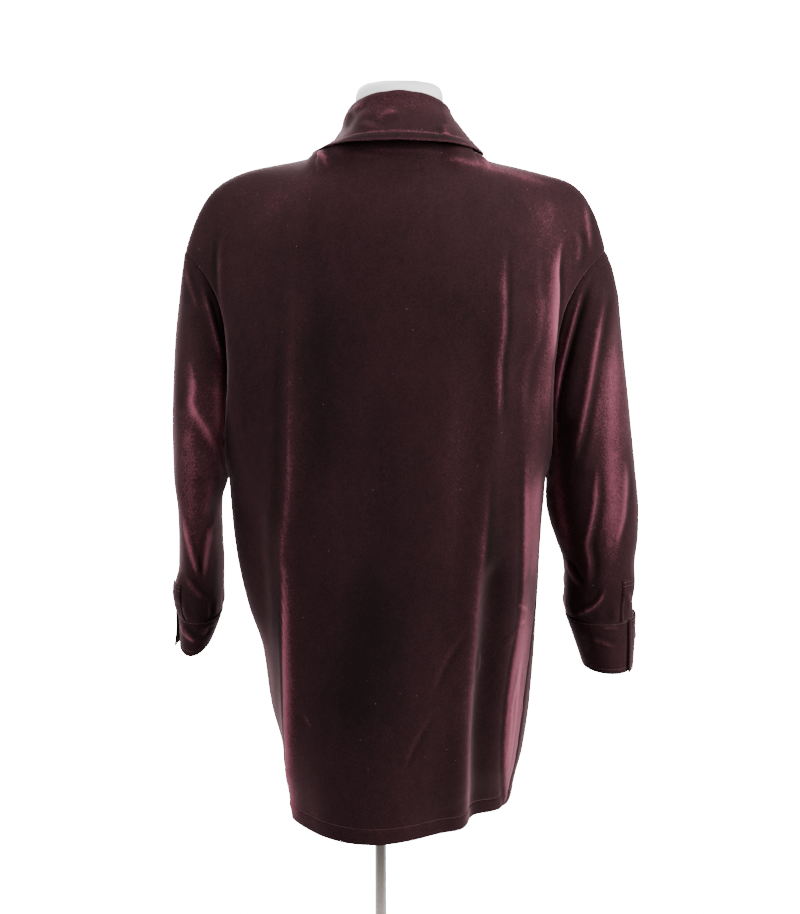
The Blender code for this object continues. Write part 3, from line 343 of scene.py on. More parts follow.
FRONT_CREASES = (
    (2.0, 9, 9, 0, -1.2, 0.24, ((1.31, 0.118), (1.15, 0.117), (1.00, 0.110), (0.85, 0.104),
        (0.62, 0.098))),
    (1.4, 7, 7, -0.8, 0, 0.20, ((1.12, 0.164), (1.00, 0.160), (0.88, 0.150), (0.75, 0.132))),
    (1.3, 9, 9, 0, 0, 0.14, ((1.38, 0.104), (1.28, 0.086), (1.16, 0.076))),
    (1.1, 5, 5, 0, -0.7, 0.17, ((0.96, 0.052), (0.84, 0.057), (0.73, 0.053), (0.62, 0.048))),
    (1.3, 6, 5, 0, -0.8, 0.20, ((1.27, 0.138), (1.22, 0.163), (1.17, 0.184))),
    (1.8, 9, 9, 0, -1.2, 0.24, ((1.33, -0.124), (1.18, -0.120), (1.02, -0.114),
        (0.86, -0.112), (0.62, -0.105))),
    (1.5, 7, 6, 0, -0.9, 0.20, ((1.10, -0.160), (0.98, -0.158), (0.86, -0.152), (0.74, -0.149))),
    (1.2, 9, 8, 0, 0, 0.20, ((1.37, -0.098), (1.27, -0.080), (1.14, -0.070))),
    (1.0, 5, 5, -0.7, 0, 0.17, ((0.92, -0.058), (0.82, -0.063), (0.72, -0.060), (0.62, -0.056))),
    (1.3, 5, 6, -0.8, 0, 0.20, ((1.26, -0.140), (1.21, -0.164), (1.16, -0.182))),
)
SLEEVE_RIGHT_CREASES = (
    (0, 26, 26, 0, 0, 0.32, ((1.300, -0.265), (1.150, -0.265), (1.000, -0.275), (0.900, -0.275))),
    (2.6, 4, 3, 0, -2.6, 0.34, ((1.315, -0.241), (1.288, -0.225), (1.253, -0.215), (1.157, -0.198),
        (1.093, -0.202))),
    (2.8, 6, 4, 0, -1.8, 0.34, ((1.301, -0.252), (1.219, -0.240), (1.171, -0.235),
        (1.058, -0.220))),
    (2.2, 5, 4, 0, -1.2, 0.32, ((1.091, -0.250), (1.034, -0.251), (0.978, -0.245), (0.953, -0.250),
        (0.927, -0.251), (0.902, -0.245))),
    (1.8, 5, 4, 0, -1, 0.24, ((1.087, -0.287), (1.044, -0.289), (1.013, -0.288), (0.986, -0.283),
        (0.959, -0.282))),
    (2.2, 3, 3, 0, -2.2, 0.3, ((0.951, -0.224), (0.935, -0.231), (0.916, -0.243))),
    (2, 3, 3, -1.4, 0, 0.32, ((0.924, -0.272), (0.904, -0.265), (0.893, -0.256), (0.887, -0.247),
        (0.875, -0.235))),
    (0, 14, 14, 0, 0, 0.1, ((1.242, -0.247), (1.159, -0.246), (1.085, -0.242))),
    (0, 16, 16, 0, 0, 0.08, ((1.235, -0.279), (1.152, -0.288), (1.080, -0.291))),
    (0, 14, 14, 0, 0, 0.34, ((1.270, -0.203), (1.150, -0.196), (1.050, -0.205), (0.970, -0.222),
        (0.900, -0.232))),
    (1.2, 3, 3, 0, -0.8, 0.16, ((0.918, -0.292), (0.901, -0.301), (0.882, -0.307))),
)
SLEEVE_LEFT_CREASES = (
    (0, 14, 14, 0, 0, 0.34, ((1.270, 0.205), (1.150, 0.207), (1.050, 0.203), (0.900, 0.222))),
    (0, 24, 24, 0, 0, 0.22, ((1.280, 0.240), (1.150, 0.240), (1.000, 0.238), (0.900, 0.240))),
    (2.4, 4, 3, 0, -2.2, 0.28, ((1.299, 0.231), (1.251, 0.216), (1.194, 0.202))),
    (1.7, 3, 3, 0, -0.8, 0.22, ((1.317, 0.250), (1.302, 0.247), (1.259, 0.230))),
    (2.2, 6, 4, -0.8, 0, 0.28, ((1.212, 0.241), (1.175, 0.235), (1.157, 0.237), (1.143, 0.232),
        (1.131, 0.225), (1.089, 0.207))),
    (2, 3, 3, 0, -1, 0.32, ((1.026, 0.248), (0.989, 0.241), (0.928, 0.227))),
    (2.2, 3, 3, -1.4, 0, 0.3, ((1.009, 0.211), (0.997, 0.217), (0.974, 0.221), (0.929, 0.225))),
    (1.2, 6, 6, 0, -0.8, 0.12, ((1.073, 0.214), (1.007, 0.224))),
    (2.5, 8, 8, 0, 0, 0.1, ((0.946, 0.251), (0.915, 0.259), (0.894, 0.260))),
    (1.8, 4, 3, 0, -1.2, 0.22, ((0.942, 0.245), (0.907, 0.225))),
)
CUFF_RIGHT_CREASES = (
    (0.8, 3, 3, 0, -0.6, 0.15, ((0.866, -0.268), (0.866, -0.281), (0.863, -0.294))),
    (0.9, 3, 3, 0, -0.6, 0.15, ((0.852, -0.255), (0.839, -0.291))),
    (0.9, 3, 3, 0, -0.6, 0.12, ((0.862, -0.245), (0.847, -0.253), (0.826, -0.258))),
)
CUFF_LEFT_CREASES = (
    (1.4, 3, 3, 0, -1.2, 0.22, ((0.877, 0.247), (0.869, 0.252), (0.862, 0.250), (0.850, 0.230))),
    (1.4, 3, 3, 0, -1, 0.2, ((0.871, 0.223), (0.858, 0.228))),
    (1.4, 3, 3, 0, -1, 0.2, ((0.874, 0.252), (0.861, 0.245), (0.847, 0.233))),
)
COLLAR_CREASES = (
    (1.4, 5, 5, -0.8, 0, 0.12, ((1.484, 0.030), (1.495, 0.013), (1.497, -0.002))),
    (1.2, 5, 4, 0, -0.8, 0.11, ((1.483, 0.045), (1.478, 0.021))),
    (2.2, 3, 4, 0, -1.4, 0.3, ((1.499, 0.056), (1.478, 0.068))),
    (1.6, 3, 4, -1, 0, 0.18, ((1.483, -0.051), (1.466, -0.056))),
    (0, 45, 45, 0, 0, 0.14, ((1.500, 0.060), (1.510, 0.000), (1.500, -0.060))),
    (1.4, 3, 12, 0, -0.5, 0.08, ((1.507, -0.049), (1.467, -0.060))),
    (1, 3, 3, 0, -0.8, 0.12, ((1.509, 0.037), (1.498, 0.054))),
    (0, 10, 18, 0, 0, 0.12, ((1.500, -0.062), (1.466, -0.080))),
    (0, 25, 25, 0, 0, 0.1, ((1.505, 0.040), (1.488, 0.050))),
)

# collar: its stitched line, the rise and fall of its roll, how its leaf is drawn in
# at the left and how far its corners drop
COLLAR_STITCH = 0.010
ROLL_PEAK = 0.003
ROLL_FALL = 0.008
LEAF_DRAWN = 0.007
CORNER_DROP = 0.0035


# tables and curves

def column(names, rows, name):
    return [row[names.index(name)] for row in rows]


def curve(xs, ys, at):
    """Smooth line through a short column of sizes that never overshoots them."""
    xs = np.asarray(xs, float)
    ys = np.asarray(ys, float)
    if xs[0] > xs[-1]:
        xs = xs[::-1]
        ys = ys[::-1]
    step = np.diff(xs)
    slope = np.diff(ys) / step
    end = np.zeros(len(xs))
    end[0] = slope[0]
    end[-1] = slope[-1]
    for i in range(1, len(xs) - 1):
        if slope[i - 1] * slope[i] > 0:
            before = 2 * step[i] + step[i - 1]
            after = step[i] + 2 * step[i - 1]
            end[i] = (before + after) / (before / slope[i - 1] + after / slope[i])
    at = np.clip(np.asarray(at, float), xs[0], xs[-1])
    k = np.clip(np.searchsorted(xs, at) - 1, 0, len(xs) - 2)
    t = (at - xs[k]) / step[k]
    return ((2 * t ** 3 - 3 * t ** 2 + 1) * ys[k] + (t ** 3 - 2 * t ** 2 + t) * step[k] * end[k]
            + (3 * t ** 2 - 2 * t ** 3) * ys[k + 1] + (t ** 3 - t ** 2) * step[k] * end[k + 1])


def smooth(t):
    t = np.clip(t, 0.0, 1.0)
    return t * t * (3 - 2 * t)


def unit(v):
    return v / np.maximum(np.linalg.norm(v, axis=-1, keepdims=True), 1e-12)


def bell(distance, width):
    """One in the middle, fading to nothing on both sides."""
    return np.exp(-(distance / width) ** 2)


def rounded(value, power):
    return np.sign(value) * np.abs(value) ** (2.0 / power)


# body of the jacket

def body_size(name, z):
    heights = column(BODY_FIELDS, BODY_ROWS, "height")
    return curve(heights, column(BODY_FIELDS, BODY_ROWS, name), z)


def body_ring(z, turn):
    """Outer face of the cloth at height z. turn is 0 at the left side, 90 degrees at the back."""
    z = np.asarray(z, float) + 0 * turn
    c = np.cos(turn)
    s = np.sin(turn)
    half = np.where(c > 0, body_size("left", z), body_size("right", z))
    deep = np.where(s > 0, body_size("back", z), body_size("front", z))
    power = np.where((c < 0) & (s > 0), body_size("right_power", z), body_size("power", z))
    x = half * rounded(c, power)
    y = deep * rounded(s, power) + body_size("forward", z) * np.clip(-c, 0, 1) ** 2
    return np.stack([x, y, z], axis=-1)


def neck_seam(turn):
    c = np.cos(turn)
    s = np.sin(turn)
    return np.stack([NECK_HALF * c, NECK_DEPTH_AT + NECK_DEPTH * s,
                     NECK_Z + NECK_TILT * s - NECK_SAG * s * s], axis=-1)


def shoulder_seam(k, side):
    height = "left_height" if side > 0 else "right_height"
    names = ("across", "depth", height)
    rows = np.array([column(SHOULDER_FIELDS, SHOULDER_ROWS, n) for n in names]).T
    run = np.concatenate([[0.0], np.cumsum(np.linalg.norm(np.diff(rows, axis=0), axis=1))])
    at = k * run[-1]
    out = np.stack([curve(run, rows[:, i], at) for i in range(3)], axis=-1)
    out[..., 0] *= side
    return out


def sleeve_table(side):
    return SLEEVE_LEFT_ROWS if side > 0 else SLEEVE_RIGHT_ROWS


def sleeve_ring(rows, t, phi, side):
    """Section t of a sleeve or cuff. phi is 0 at its outer edge, 90 degrees at the back."""
    knots = np.linspace(0.0, 1.0, len(rows))
    size = {n: curve(knots, column(SLEEVE_FIELDS, rows, n), t) for n in SLEEVE_FIELDS}
    c = np.cos(phi)
    s = np.sin(phi)
    ax = (size["outer"] - size["inner"]) / 2
    az = (size["outer_z"] - size["inner_z"]) / 2
    length = np.sqrt(ax ** 2 + az ** 2)
    cr = rounded(c, size["power"])
    bow = size["bow"] * s * s * (1 + 0.9 * c)
    x = (size["outer"] + size["inner"]) / 2 + ax * cr - bow * az / length
    z = (size["outer_z"] + size["inner_z"]) / 2 + az * cr + bow * ax / length
    y = size["depth"] + size["half_depth"] * rounded(s, size["power"])
    return np.stack([side * x, y + 0 * x, z], axis=-1)


def row_phi():
    """Angles round the armhole where the body rows meet it, underarm first."""
    return math.pi * (1 - np.linspace(0, 1, UP_ROWS + 1))


def row_heights():
    """Rows close together over the hem, wider above it."""
    hem = np.linspace(HEM_Z, HEM_Z + 0.030, HEM_ROWS + 1)
    rest = np.linspace(HEM_Z + 0.030, UNDERARM_Z, LOW_ROWS - HEM_ROWS + 1)
    return np.concatenate([hem, rest[1:]])


def ease_columns(top, keep):
    """The top row with its corners rounded; its ends and its first columns stay put."""
    row = np.array(top)
    for _ in range(6 * top.shape[0]):
        row[1:-1] = (row[:-2] + 2 * row[1:-1] + row[2:]) / 4
    share = np.clip((np.arange(len(top)) - keep) / 18.0, 0, 1)[:, None] if keep else 1.0
    return top + (row - top) * share


def upper_patch(bottom, top, edges, keep=0):
    """Cloth from the underarm row up to the top row, drawn to the armhole at its ends."""
    w = np.linspace(0, 1, UP_ROWS + 1)[:, None]
    alpha = w ** 1.25 * math.pi / 2
    up = np.sin(alpha) ** (2 / UPPER_POWER)
    fall = np.where(w < 1, np.abs(np.cos(alpha)) ** (2 / UPPER_POWER), 0.0)
    eased = ease_columns(top, keep)
    local = (up ** NECK_EASE)[:, :, None]
    goal = eased[None] * (1 - local) + top[None] * local
    x = bottom[None, :, 0] + (goal[..., 0] - bottom[None, :, 0]) * up ** 2.0
    z = bottom[None, :, 2] + (goal[..., 2] - bottom[None, :, 2]) * up
    y = goal[..., 1] + (bottom[None, :, 1] - goal[..., 1]) * fall
    grid = np.stack([x, y, z], axis=-1)
    count = grid.shape[1]
    for index, edge in edges.items():
        miss = edge - grid[:, index]
        far = np.abs(np.arange(count) - (index % count)) / float(SHOULDER_COLUMNS + 1)
        weight = np.clip(1 - far, 0, 1) ** 1.7
        grid = grid + miss[:, None, :] * weight[None, :, None]
    return grid


def back_grid():
    side = NECK_TURN * (1 - np.linspace(0, 1, SHOULDER_COLUMNS + 1))
    neck = np.linspace(math.pi - NECK_TURN, NECK_TURN, NECK_COLUMNS + 1)
    turns = np.concatenate([math.pi - side[::-1][:-1], neck, side[1:]])
    rows = []
    for z in row_heights():
        end = math.radians(float(body_size("seam", z)))
        past = turns - math.pi / 2
        squeezed = np.where(past > 0, math.pi / 2 + past * (1 - end * 2 / math.pi), turns)
        rows.append(body_ring(z, squeezed))
    low = np.array(rows)
    k = np.linspace(0, 1, SHOULDER_COLUMNS + 1)
    neck = neck_seam(np.linspace(math.pi, 0, NECK_COLUMNS + 1))
    top = np.concatenate([shoulder_seam(k[::-1], -1)[:-1], neck, shoulder_seam(k, 1)[1:]])
    edges = {0: sleeve_ring(SLEEVE_RIGHT_ROWS, 0.0, row_phi(), -1),
             -1: sleeve_ring(SLEEVE_LEFT_ROWS, 0.0, row_phi(), 1)}
    return np.concatenate([low, upper_patch(low[-1], top, edges)[1:]])


def front_grid(side):
    """Columns run from the centre edge to the side seam."""
    rows = []
    for z in row_heights():
        half = float(body_size("right" if side > 0 else "left", z))
        power = float(body_size("power", z))
        past = math.asin((LAP_HALF / half) ** (power / 2))
        neck_at = math.pi / 2 - NECK_TURN
        inner = np.linspace(-past, neck_at, FRONT_NECK_COLUMNS + 1)
        outer = np.linspace(neck_at, math.pi / 2, SHOULDER_COLUMNS + 1)
        turns = np.concatenate([inner, outer[1:]])
        if side > 0:
            rows.append(body_ring(z, 1.5 * math.pi + turns))
        else:
            end = math.radians(float(body_size("seam", z)))
            turns = np.where(turns > 0, turns * (math.pi / 2 + end) / (math.pi / 2), turns)
            rows.append(body_ring(z, 1.5 * math.pi - turns))
    low = np.array(rows)
    k = np.linspace(0, 1, SHOULDER_COLUMNS + 1)
    past = math.asin(LAP_HALF / NECK_HALF)
    neck = neck_seam(np.linspace(-math.pi / 2 - past, 0, FRONT_NECK_COLUMNS + 1))
    neck[:, 0] *= side
    top = np.concatenate([neck, shoulder_seam(k, side)[1:]])
    edge = sleeve_ring(sleeve_table(side), 0.0, -row_phi(), side)
    return np.concatenate([low, upper_patch(low[-1], top, {-1: edge}, 12)[1:]])


# folds, creases and the slow swell of hanging cloth

def path_reach(points, path):
    """Distance from a path as seen from behind, which side, and how far along it."""
    px = points[..., 0]
    pz = points[..., 2]
    best = np.full(px.shape, 1e9)
    side = np.zeros(px.shape)
    along = np.zeros(px.shape)
    knots = [(across, height) for height, across in path]
    total = sum(math.dist(a, b) for a, b in zip(knots, knots[1:]))
    run = 0.0
    for a, b in zip(knots, knots[1:]):
        dx = b[0] - a[0]
        dz = b[1] - a[1]
        length = math.hypot(dx, dz)
        t = np.clip(((px - a[0]) * dx + (pz - a[1]) * dz) / length ** 2, 0, 1)
        reach = np.hypot(px - a[0] - t * dx, pz - a[1] - t * dz)
        cross = dx * (pz - a[1]) - dz * (px - a[0])
        near = reach < best
        side = np.where(near, np.sign(cross), side)
        along = np.where(near, (run + t * length) / total, along)
        best = np.where(near, reach, best)
        run += length
    return best, side, along


def smooth_path(path):
    """The path with its corners rounded by two more points between each pair."""
    knots = np.linspace(0, 1, len(path))
    fine = np.linspace(0, 1, 3 * len(path) - 2)
    heights = [p[0] for p in path]
    across = [p[1] for p in path]
    return list(zip(curve(knots, heights, fine), curve(knots, across, fine)))


def fold_rise(points, normals, folds, facing=1.0):
    """Sum of the big folds at each point. A fold fades out at both ends of its path."""
    rise = np.zeros(points.shape[:-1])
    seen = smooth(facing * normals[..., 1] / 0.3)
    for height, left, right, path in folds:
        reach, side, along = path_reach(points, path)
        width = np.where(side > 0, left, right)
        fade = smooth(along / FOLD_FADE)
        if path[-1][0] > RUNS_OUT_Z:
            fade = fade * smooth((1 - along) / FOLD_FADE)
        rise += height * bell(reach, width) * fade
    return rise * seen


def relief(points, normals, rows, facing=1.0):
    """Lift of the creases at each point, and the painted highlight and shade laid along them."""
    lift = np.zeros(points.shape[:-1])
    light = np.zeros(points.shape[:-1])
    seen = smooth(facing * normals[..., 1] / 0.25)
    for rise, left, right, left_dip, right_dip, shine, path in rows:
        heights = [p[0] for p in path]
        wide = 0.005 * max(left, right)
        near = (points[..., 2] > min(heights) - wide) & (points[..., 2] < max(heights) + wide)
        if not near.any():
            continue
        part = points[near]
        reach, side, along = path_reach(part, smooth_path(path))
        off = -side * reach * 1000
        width = np.where(off < 0, left, right)
        ends = smooth(along / CREASE_FADE)
        if heights[-1] > RUNS_OUT_Z:
            ends = ends * smooth((1 - along) / CREASE_FADE)
        width = width * (0.45 + 0.55 * ends)
        ridge = bell(off, width)
        dips = left_dip * bell(off + 1.9 * left, 1.1 * left)
        dips = dips + right_dip * bell(off - 1.9 * right, 1.1 * right)
        lift[near] += (rise * ridge + dips) * ends * 0.001
        thin = bell(off, 0.35 * width + 0.6)
        # painted highlight along the ridge, and painted shade in the dips beside it
        light[near] += (shine * (0.5 * ridge + 0.5 * thin) + 0.08 * dips) * ends
    return lift * seen, light * seen


def swell(points, amount, seed=0.0):
    """Slow uneven swell of hanging cloth, longer up and down than across."""
    flat = points.reshape(-1, 3)
    out = np.empty(len(flat))
    for i, (x, y, z) in enumerate(flat):
        slow = noise.noise(Vector((x * 13 + seed, y * 13, z * 4.5)))
        quick = noise.noise(Vector((x * 36 + seed, y * 36 + 5, z * 15)))
        out[i] = slow + 0.38 * quick
    return amount * out.reshape(points.shape[:-1])


def edge_reach(grid, edge):
    """Distance of every point from one edge of its sheet, along the cloth."""
    axis = 1 if edge in ("first", "last") else 0
    step = np.linalg.norm(np.diff(grid, axis=axis), axis=-1)
    run = np.insert(np.cumsum(step, axis=axis), 0, 0.0, axis=axis)
    if edge in ("last", "high"):
        run = run.take([-1], axis=axis) - run
    return run


def pucker(grid, reach, amount, seed):
    """Small gathers that a seam draws in the cloth beside it."""
    flat = grid.reshape(-1, 3)
    out = np.array([noise.noise(Vector((x * 75 + seed, y * 75, z * 75))) for x, y, z in flat])
    return amount * out.reshape(reach.shape) * bell(reach, PUCKER_REACH)


# walls

def grid_normals(grid, wrap):
    """Face direction at each point; away_from turns it outwards where it is needed."""
    if wrap:
        du = np.roll(grid, -1, axis=1) - np.roll(grid, 1, axis=1)
    else:
        du = np.gradient(grid, axis=1)
    dv = np.gradient(grid, axis=0)
    return unit(np.cross(du, dv))


def away_from(grid, normals, centre):
    """Turns the whole field round if it points at the centre."""
    if np.sum((grid - centre) * normals) < 0:
        return -normals
    return normals


def lean(points):
    out = np.array(points, float)
    out[..., 0] += LEAN_PER_METRE * np.maximum(out[..., 2] - LEAN_FROM_Z, 0)
    return out


def cloth_walls(heights, cloth):
    share = smooth((HEM_Z + HEM_TURN_UP + 0.012 - heights) / 0.012)
    return cloth.wall + (cloth.hem_wall - cloth.wall) * share


def border_loops(rows, cols, wrap):
    """The sheet's free edges as closed runs of (row, column)."""
    if wrap:
        return [[(0, c) for c in range(cols)], [(rows - 1, c) for c in range(cols - 1, -1, -1)]]
    loop = [(0, c) for c in range(cols)]
    loop += [(r, cols - 1) for r in range(1, rows)]
    loop += [(rows - 1, c) for c in range(cols - 2, -1, -1)]
    loop += [(r, 0) for r in range(rows - 2, 0, -1)]
    return [loop]


def make_cloth(name, grid, normals, walls, light, wrap=False, bulge=0.8):
    """Closed thin sheet with rounded edges; its outside carries the painted highlight and shade, its
    inside the ground.
    """
    rows, cols = grid.shape[:2]
    inner = grid - normals * np.broadcast_to(walls, (rows, cols))[..., None]
    far = rows * cols
    points = [lean(grid).reshape(-1, 3), lean(inner).reshape(-1, 3)]
    painted_lights = [np.asarray(light, float).reshape(-1), np.zeros(far)]
    step_u = np.linalg.norm(np.diff(grid, axis=1), axis=-1).mean(axis=0)
    step_v = np.linalg.norm(np.diff(grid, axis=0), axis=-1).mean(axis=1)
    run_u = np.concatenate([[0.0], np.cumsum(step_u)])
    run_v = np.concatenate([[0.0], np.cumsum(step_v)])
    flat_uv = np.stack(np.broadcast_arrays(run_u[None, :], run_v[:, None]), axis=-1).reshape(-1, 2)
    uvs = [flat_uv, flat_uv]
    faces = []
    kinds = []
    last = cols if wrap else cols - 1
    r, c = np.meshgrid(np.arange(rows - 1), np.arange(last), indexing="ij")
    r = r.reshape(-1)
    c = c.reshape(-1)
    n = (c + 1) % cols
    quads = np.stack([r * cols + c, r * cols + n, (r + 1) * cols + n, (r + 1) * cols + c], axis=-1)
    faces += quads.tolist()
    kinds += [0] * len(quads)
    faces += (quads[:, ::-1] + far).tolist()
    kinds += [1] * len(quads)
    total = 2 * far
    for loop in border_loops(rows, cols, wrap):
        index = np.array([a * cols + b for a, b in loop])
        inward = np.array([min(max(a, 1), rows - 2) * cols
                           + (b if wrap else min(max(b, 1), cols - 2)) for a, b in loop])
        top = points[0][index]
        low = points[1][index]
        middle = (top + low) / 2
        half = top - middle
        side = unit(half)
        away = top - points[0][inward]
        away = unit(away - np.sum(away * side, axis=-1, keepdims=True) * side)
        thick = np.linalg.norm(half, axis=-1, keepdims=True) * bulge
        chain = [index]
        for angle in (45, 90, 135):
            turn = math.radians(angle)
            points.append(middle + half * math.cos(turn) + away * thick * math.sin(turn))
            painted_lights.append(painted_lights[0][index])
            uvs.append(flat_uv[index])
            chain.append(np.arange(total, total + len(index)))
            total += len(index)
        chain.append(index + far)
        for a, b in zip(chain, chain[1:]):
            ring = np.stack([a, b, np.roll(b, -1), np.roll(a, -1)], axis=-1)
            faces += ring.tolist()
            kinds += [0] * len(ring)
    mesh = bpy.data.meshes.new(name)
    mesh.from_pydata(np.concatenate(points).tolist(), [], faces)
    for slot in ("burgundy velvet", "velvet ground"):
        mesh.materials.append(bpy.data.materials[slot])
    mesh.polygons.foreach_set("material_index", kinds)
    shaded(mesh)
    # painted highlight and shade of the creases, one value per point
    nap = mesh.attributes.new("nap", "FLOAT", "POINT")
    nap.data.foreach_set("value", np.concatenate(painted_lights).astype(np.float32))
    layer = mesh.uv_layers.new(name="cloth")
    corner = np.empty(len(mesh.loops), np.int32)
    mesh.loops.foreach_get("vertex_index", corner)
    layer.data.foreach_set("uv", np.concatenate(uvs)[corner].astype(np.float32).reshape(-1))
    return placed(name, mesh)


def shaded(mesh):
    """Turns every face outwards and shades it smooth."""
    bm = bmesh.new()
    bm.from_mesh(mesh)
    bmesh.ops.recalc_face_normals(bm, faces=bm.faces)
    bm.to_mesh(mesh)
    bm.free()
    mesh.polygons.foreach_set("use_smooth", [True] * len(mesh.polygons))
    mesh.update()


def placed(name, mesh):
    thing = bpy.data.objects.new(name, mesh)
    bpy.context.scene.collection.objects.link(thing)
    return thing


def sewn(thing, *nodes):
    """Ties a piece of cloth to the frame and hides the solids it stands for."""
    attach(thing, "root")
    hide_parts(*nodes)


# runs kept for the stitching: points just above the cloth, and the way out at each
LINES = {"stitches": [], "holes": []}
# spots kept for the buttons: middle and direction of each
SPOTS = []


def keep_line(grid, normals, edge, distance, start=0, stop=None, lift=0.00012):
    """A run of points at one distance from an edge, just above the cloth."""
    reach = edge_reach(grid, edge)
    if edge in ("first", "last"):
        grid = grid.transpose(1, 0, 2)
        normals = normals.transpose(1, 0, 2)
        reach = reach.T
    if edge in ("high", "last"):
        grid = grid[::-1]
        normals = normals[::-1]
        reach = reach[::-1]
    points = []
    turns = []
    for c in range(grid.shape[1])[start:stop]:
        spot = [np.interp(distance, reach[:, c], grid[:, c, a]) for a in range(3)]
        turn = [np.interp(distance, reach[:, c], normals[:, c, a]) for a in range(3)]
        turns.append(unit(np.array(turn)))
        points.append(np.array(spot) + turns[-1] * lift)
    LINES["stitches"].append((lean(np.array(points)), np.array(turns)))


# the body sheets

BODY = {}


def make_body(cloth):
    """Back and both fronts with their folds, and the direction outwards at each point."""
    back = back_grid()
    left = front_grid(1)
    right = front_grid(-1)
    plain_back = back.copy()
    middle = np.array([0.0, 0.0, 1.05])
    light = {}
    n_back = away_from(back, grid_normals(back, False), middle)
    rows = np.arange(back.shape[0])[:, None]
    cols = np.arange(back.shape[1])[None, :]
    side = np.minimum(cols, back.shape[1] - 1 - cols)
    above = smooth((rows - LOW_ROWS + ARMHOLE_ROWS) / ARMHOLE_ROWS)
    below_neck = smooth((back.shape[0] - 1 - rows) / NECK_ROWS)
    hold = (1 - above * (1 - smooth(side / ARMHOLE_COLUMNS))) * below_neck
    lift, light["back"] = relief(back, n_back, BACK_CREASES)
    lift = cloth.creases * lift + fold_rise(back, n_back, BACK_FOLDS)
    lift = lift + swell(back, cloth.swell)
    back = back + n_back * (lift * hold)[..., None]
    # the fronts take the same push along the side seams so that the edges still meet
    for key, front, column_index in (("front_left", left, -1), ("front_right", right, 0)):
        normals = away_from(front, grid_normals(front, False), middle)
        far = np.arange(front.shape[1])[::-1][None, :]
        near_seam = np.clip(1 - far / SIDE_COLUMNS, 0, 1) ** 1.5
        rise, light[key] = relief(front, normals, FRONT_CREASES, -1.0)
        rise = cloth.creases * rise + swell(front, cloth.swell, 9.0)
        free = smooth(far / SIDE_COLUMNS) * below_neck
        # flat beside the button band
        centre = smooth((np.abs(front[..., 0]) - 0.024) / 0.02)
        shift = back[:, column_index] - plain_back[:, column_index]
        shift[LOW_ROWS + 1:] = 0
        front += normals * (rise * free * centre)[..., None]
        front += shift[:, None, :] * near_seam[..., None]
    # the armhole edges stay on the armhole
    back[LOW_ROWS:, -1] = sleeve_ring(SLEEVE_LEFT_ROWS, 0.0, row_phi(), 1)
    back[LOW_ROWS:, 0] = sleeve_ring(SLEEVE_RIGHT_ROWS, 0.0, row_phi(), -1)
    sheets = {"back": back, "front_left": left, "front_right": right}
    for key, grid in sheets.items():
        normals = away_from(grid, grid_normals(grid, False), middle)
        seam = edge_reach(grid, "last")
        if key == "back":
            seam = np.minimum(seam, edge_reach(grid, "first"))
        shoulder = edge_reach(grid, "high")
        lift = pucker(grid, seam, cloth.pucker, 3.0)
        lift = lift - cloth.seam_dip * bell(seam, SEAM_GROOVE)
        lift = lift - cloth.seam_dip * bell(shoulder, SEAM_GROOVE)
        above_hem = grid[..., 2] - HEM_Z - HEM_TURN_UP
        groove = bell(above_hem, HEM_GROOVE)
        lift = lift - cloth.stitch_dip * groove + 0.0004 * smooth(-above_hem / 0.004)
        lift = lift + pucker(grid, np.abs(above_hem), 0.5 * cloth.pucker, 8.0)
        grid += normals * lift[..., None]
        sheets[key] = (grid, away_from(grid, grid_normals(grid, False), middle), light[key])
    return sheets


def body(cloth):
    if not BODY:
        BODY.update(make_body(cloth))
    return BODY


def build_back(cloth):
    grid, normals, light = body(cloth)["back"]
    thing = make_cloth("cloth_back", grid, normals, cloth_walls(grid[..., 2], cloth), light)
    keep_line(grid, normals, "low", HEM_TURN_UP)
    sewn(thing, "back")


def build_fronts(cloth):
    for side, key in ((1, "front_left"), (-1, "front_right")):
        grid, normals, light = body(cloth)[key]
        grid = grid.copy()
        walls = cloth_walls(grid[..., 2], cloth)
        if side < 0:
            # the right front passes under the left one
            under = smooth((grid[..., 0] + 0.062) / 0.028)
            grid = grid - normals * ((walls + LAP_GAP) * under)[..., None]
        sewn(make_cloth("cloth_" + key, grid, normals, walls, light), key)
        keep_line(grid, normals, "low", HEM_TURN_UP, 14 if side > 0 else 4)
    # the button band lies on the edge of the left front
    grid, normals, light = body(cloth)["front_left"]
    across = np.linspace(-LAP_HALF + 0.0004, LAP_HALF, 15)
    band = np.zeros((grid.shape[0], len(across), 3))
    band_n = np.zeros_like(band)
    for r in range(grid.shape[0]):
        for axis in range(3):
            band[r, :, axis] = np.interp(across, grid[r, :, 0], grid[r, :, axis])
            band_n[r, :, axis] = np.interp(across, grid[r, :, 0], normals[r, :, axis])
    band = band[:-1]
    band_n = unit(band_n[:-1])
    for edge in ("first", "last"):
        reach = edge_reach(band, edge)
        band = band - band_n * (0.0003 * bell(reach - BAND_STITCH, STITCH_GROOVE))[..., None]
    band = band + band_n * (STRIP_WALL + 0.0003)
    band = band + band_n * swell(band, 0.0004, 21.0)[..., None]
    plain = np.zeros(band.shape[:2])
    sewn(make_cloth("cloth_front_band", band, band_n, STRIP_WALL, plain), "front_band")
    for edge in ("first", "last"):
        keep_line(band, band_n, edge, BAND_STITCH)
    middle = len(across) // 2
    for i in range(BUTTON_COUNT):
        z = BUTTON_TOP_Z + (BUTTON_BOTTOM_Z - BUTTON_TOP_Z) * i / (BUTTON_COUNT - 1)
        keep_spot(band[:, middle], band_n[:, middle], z)


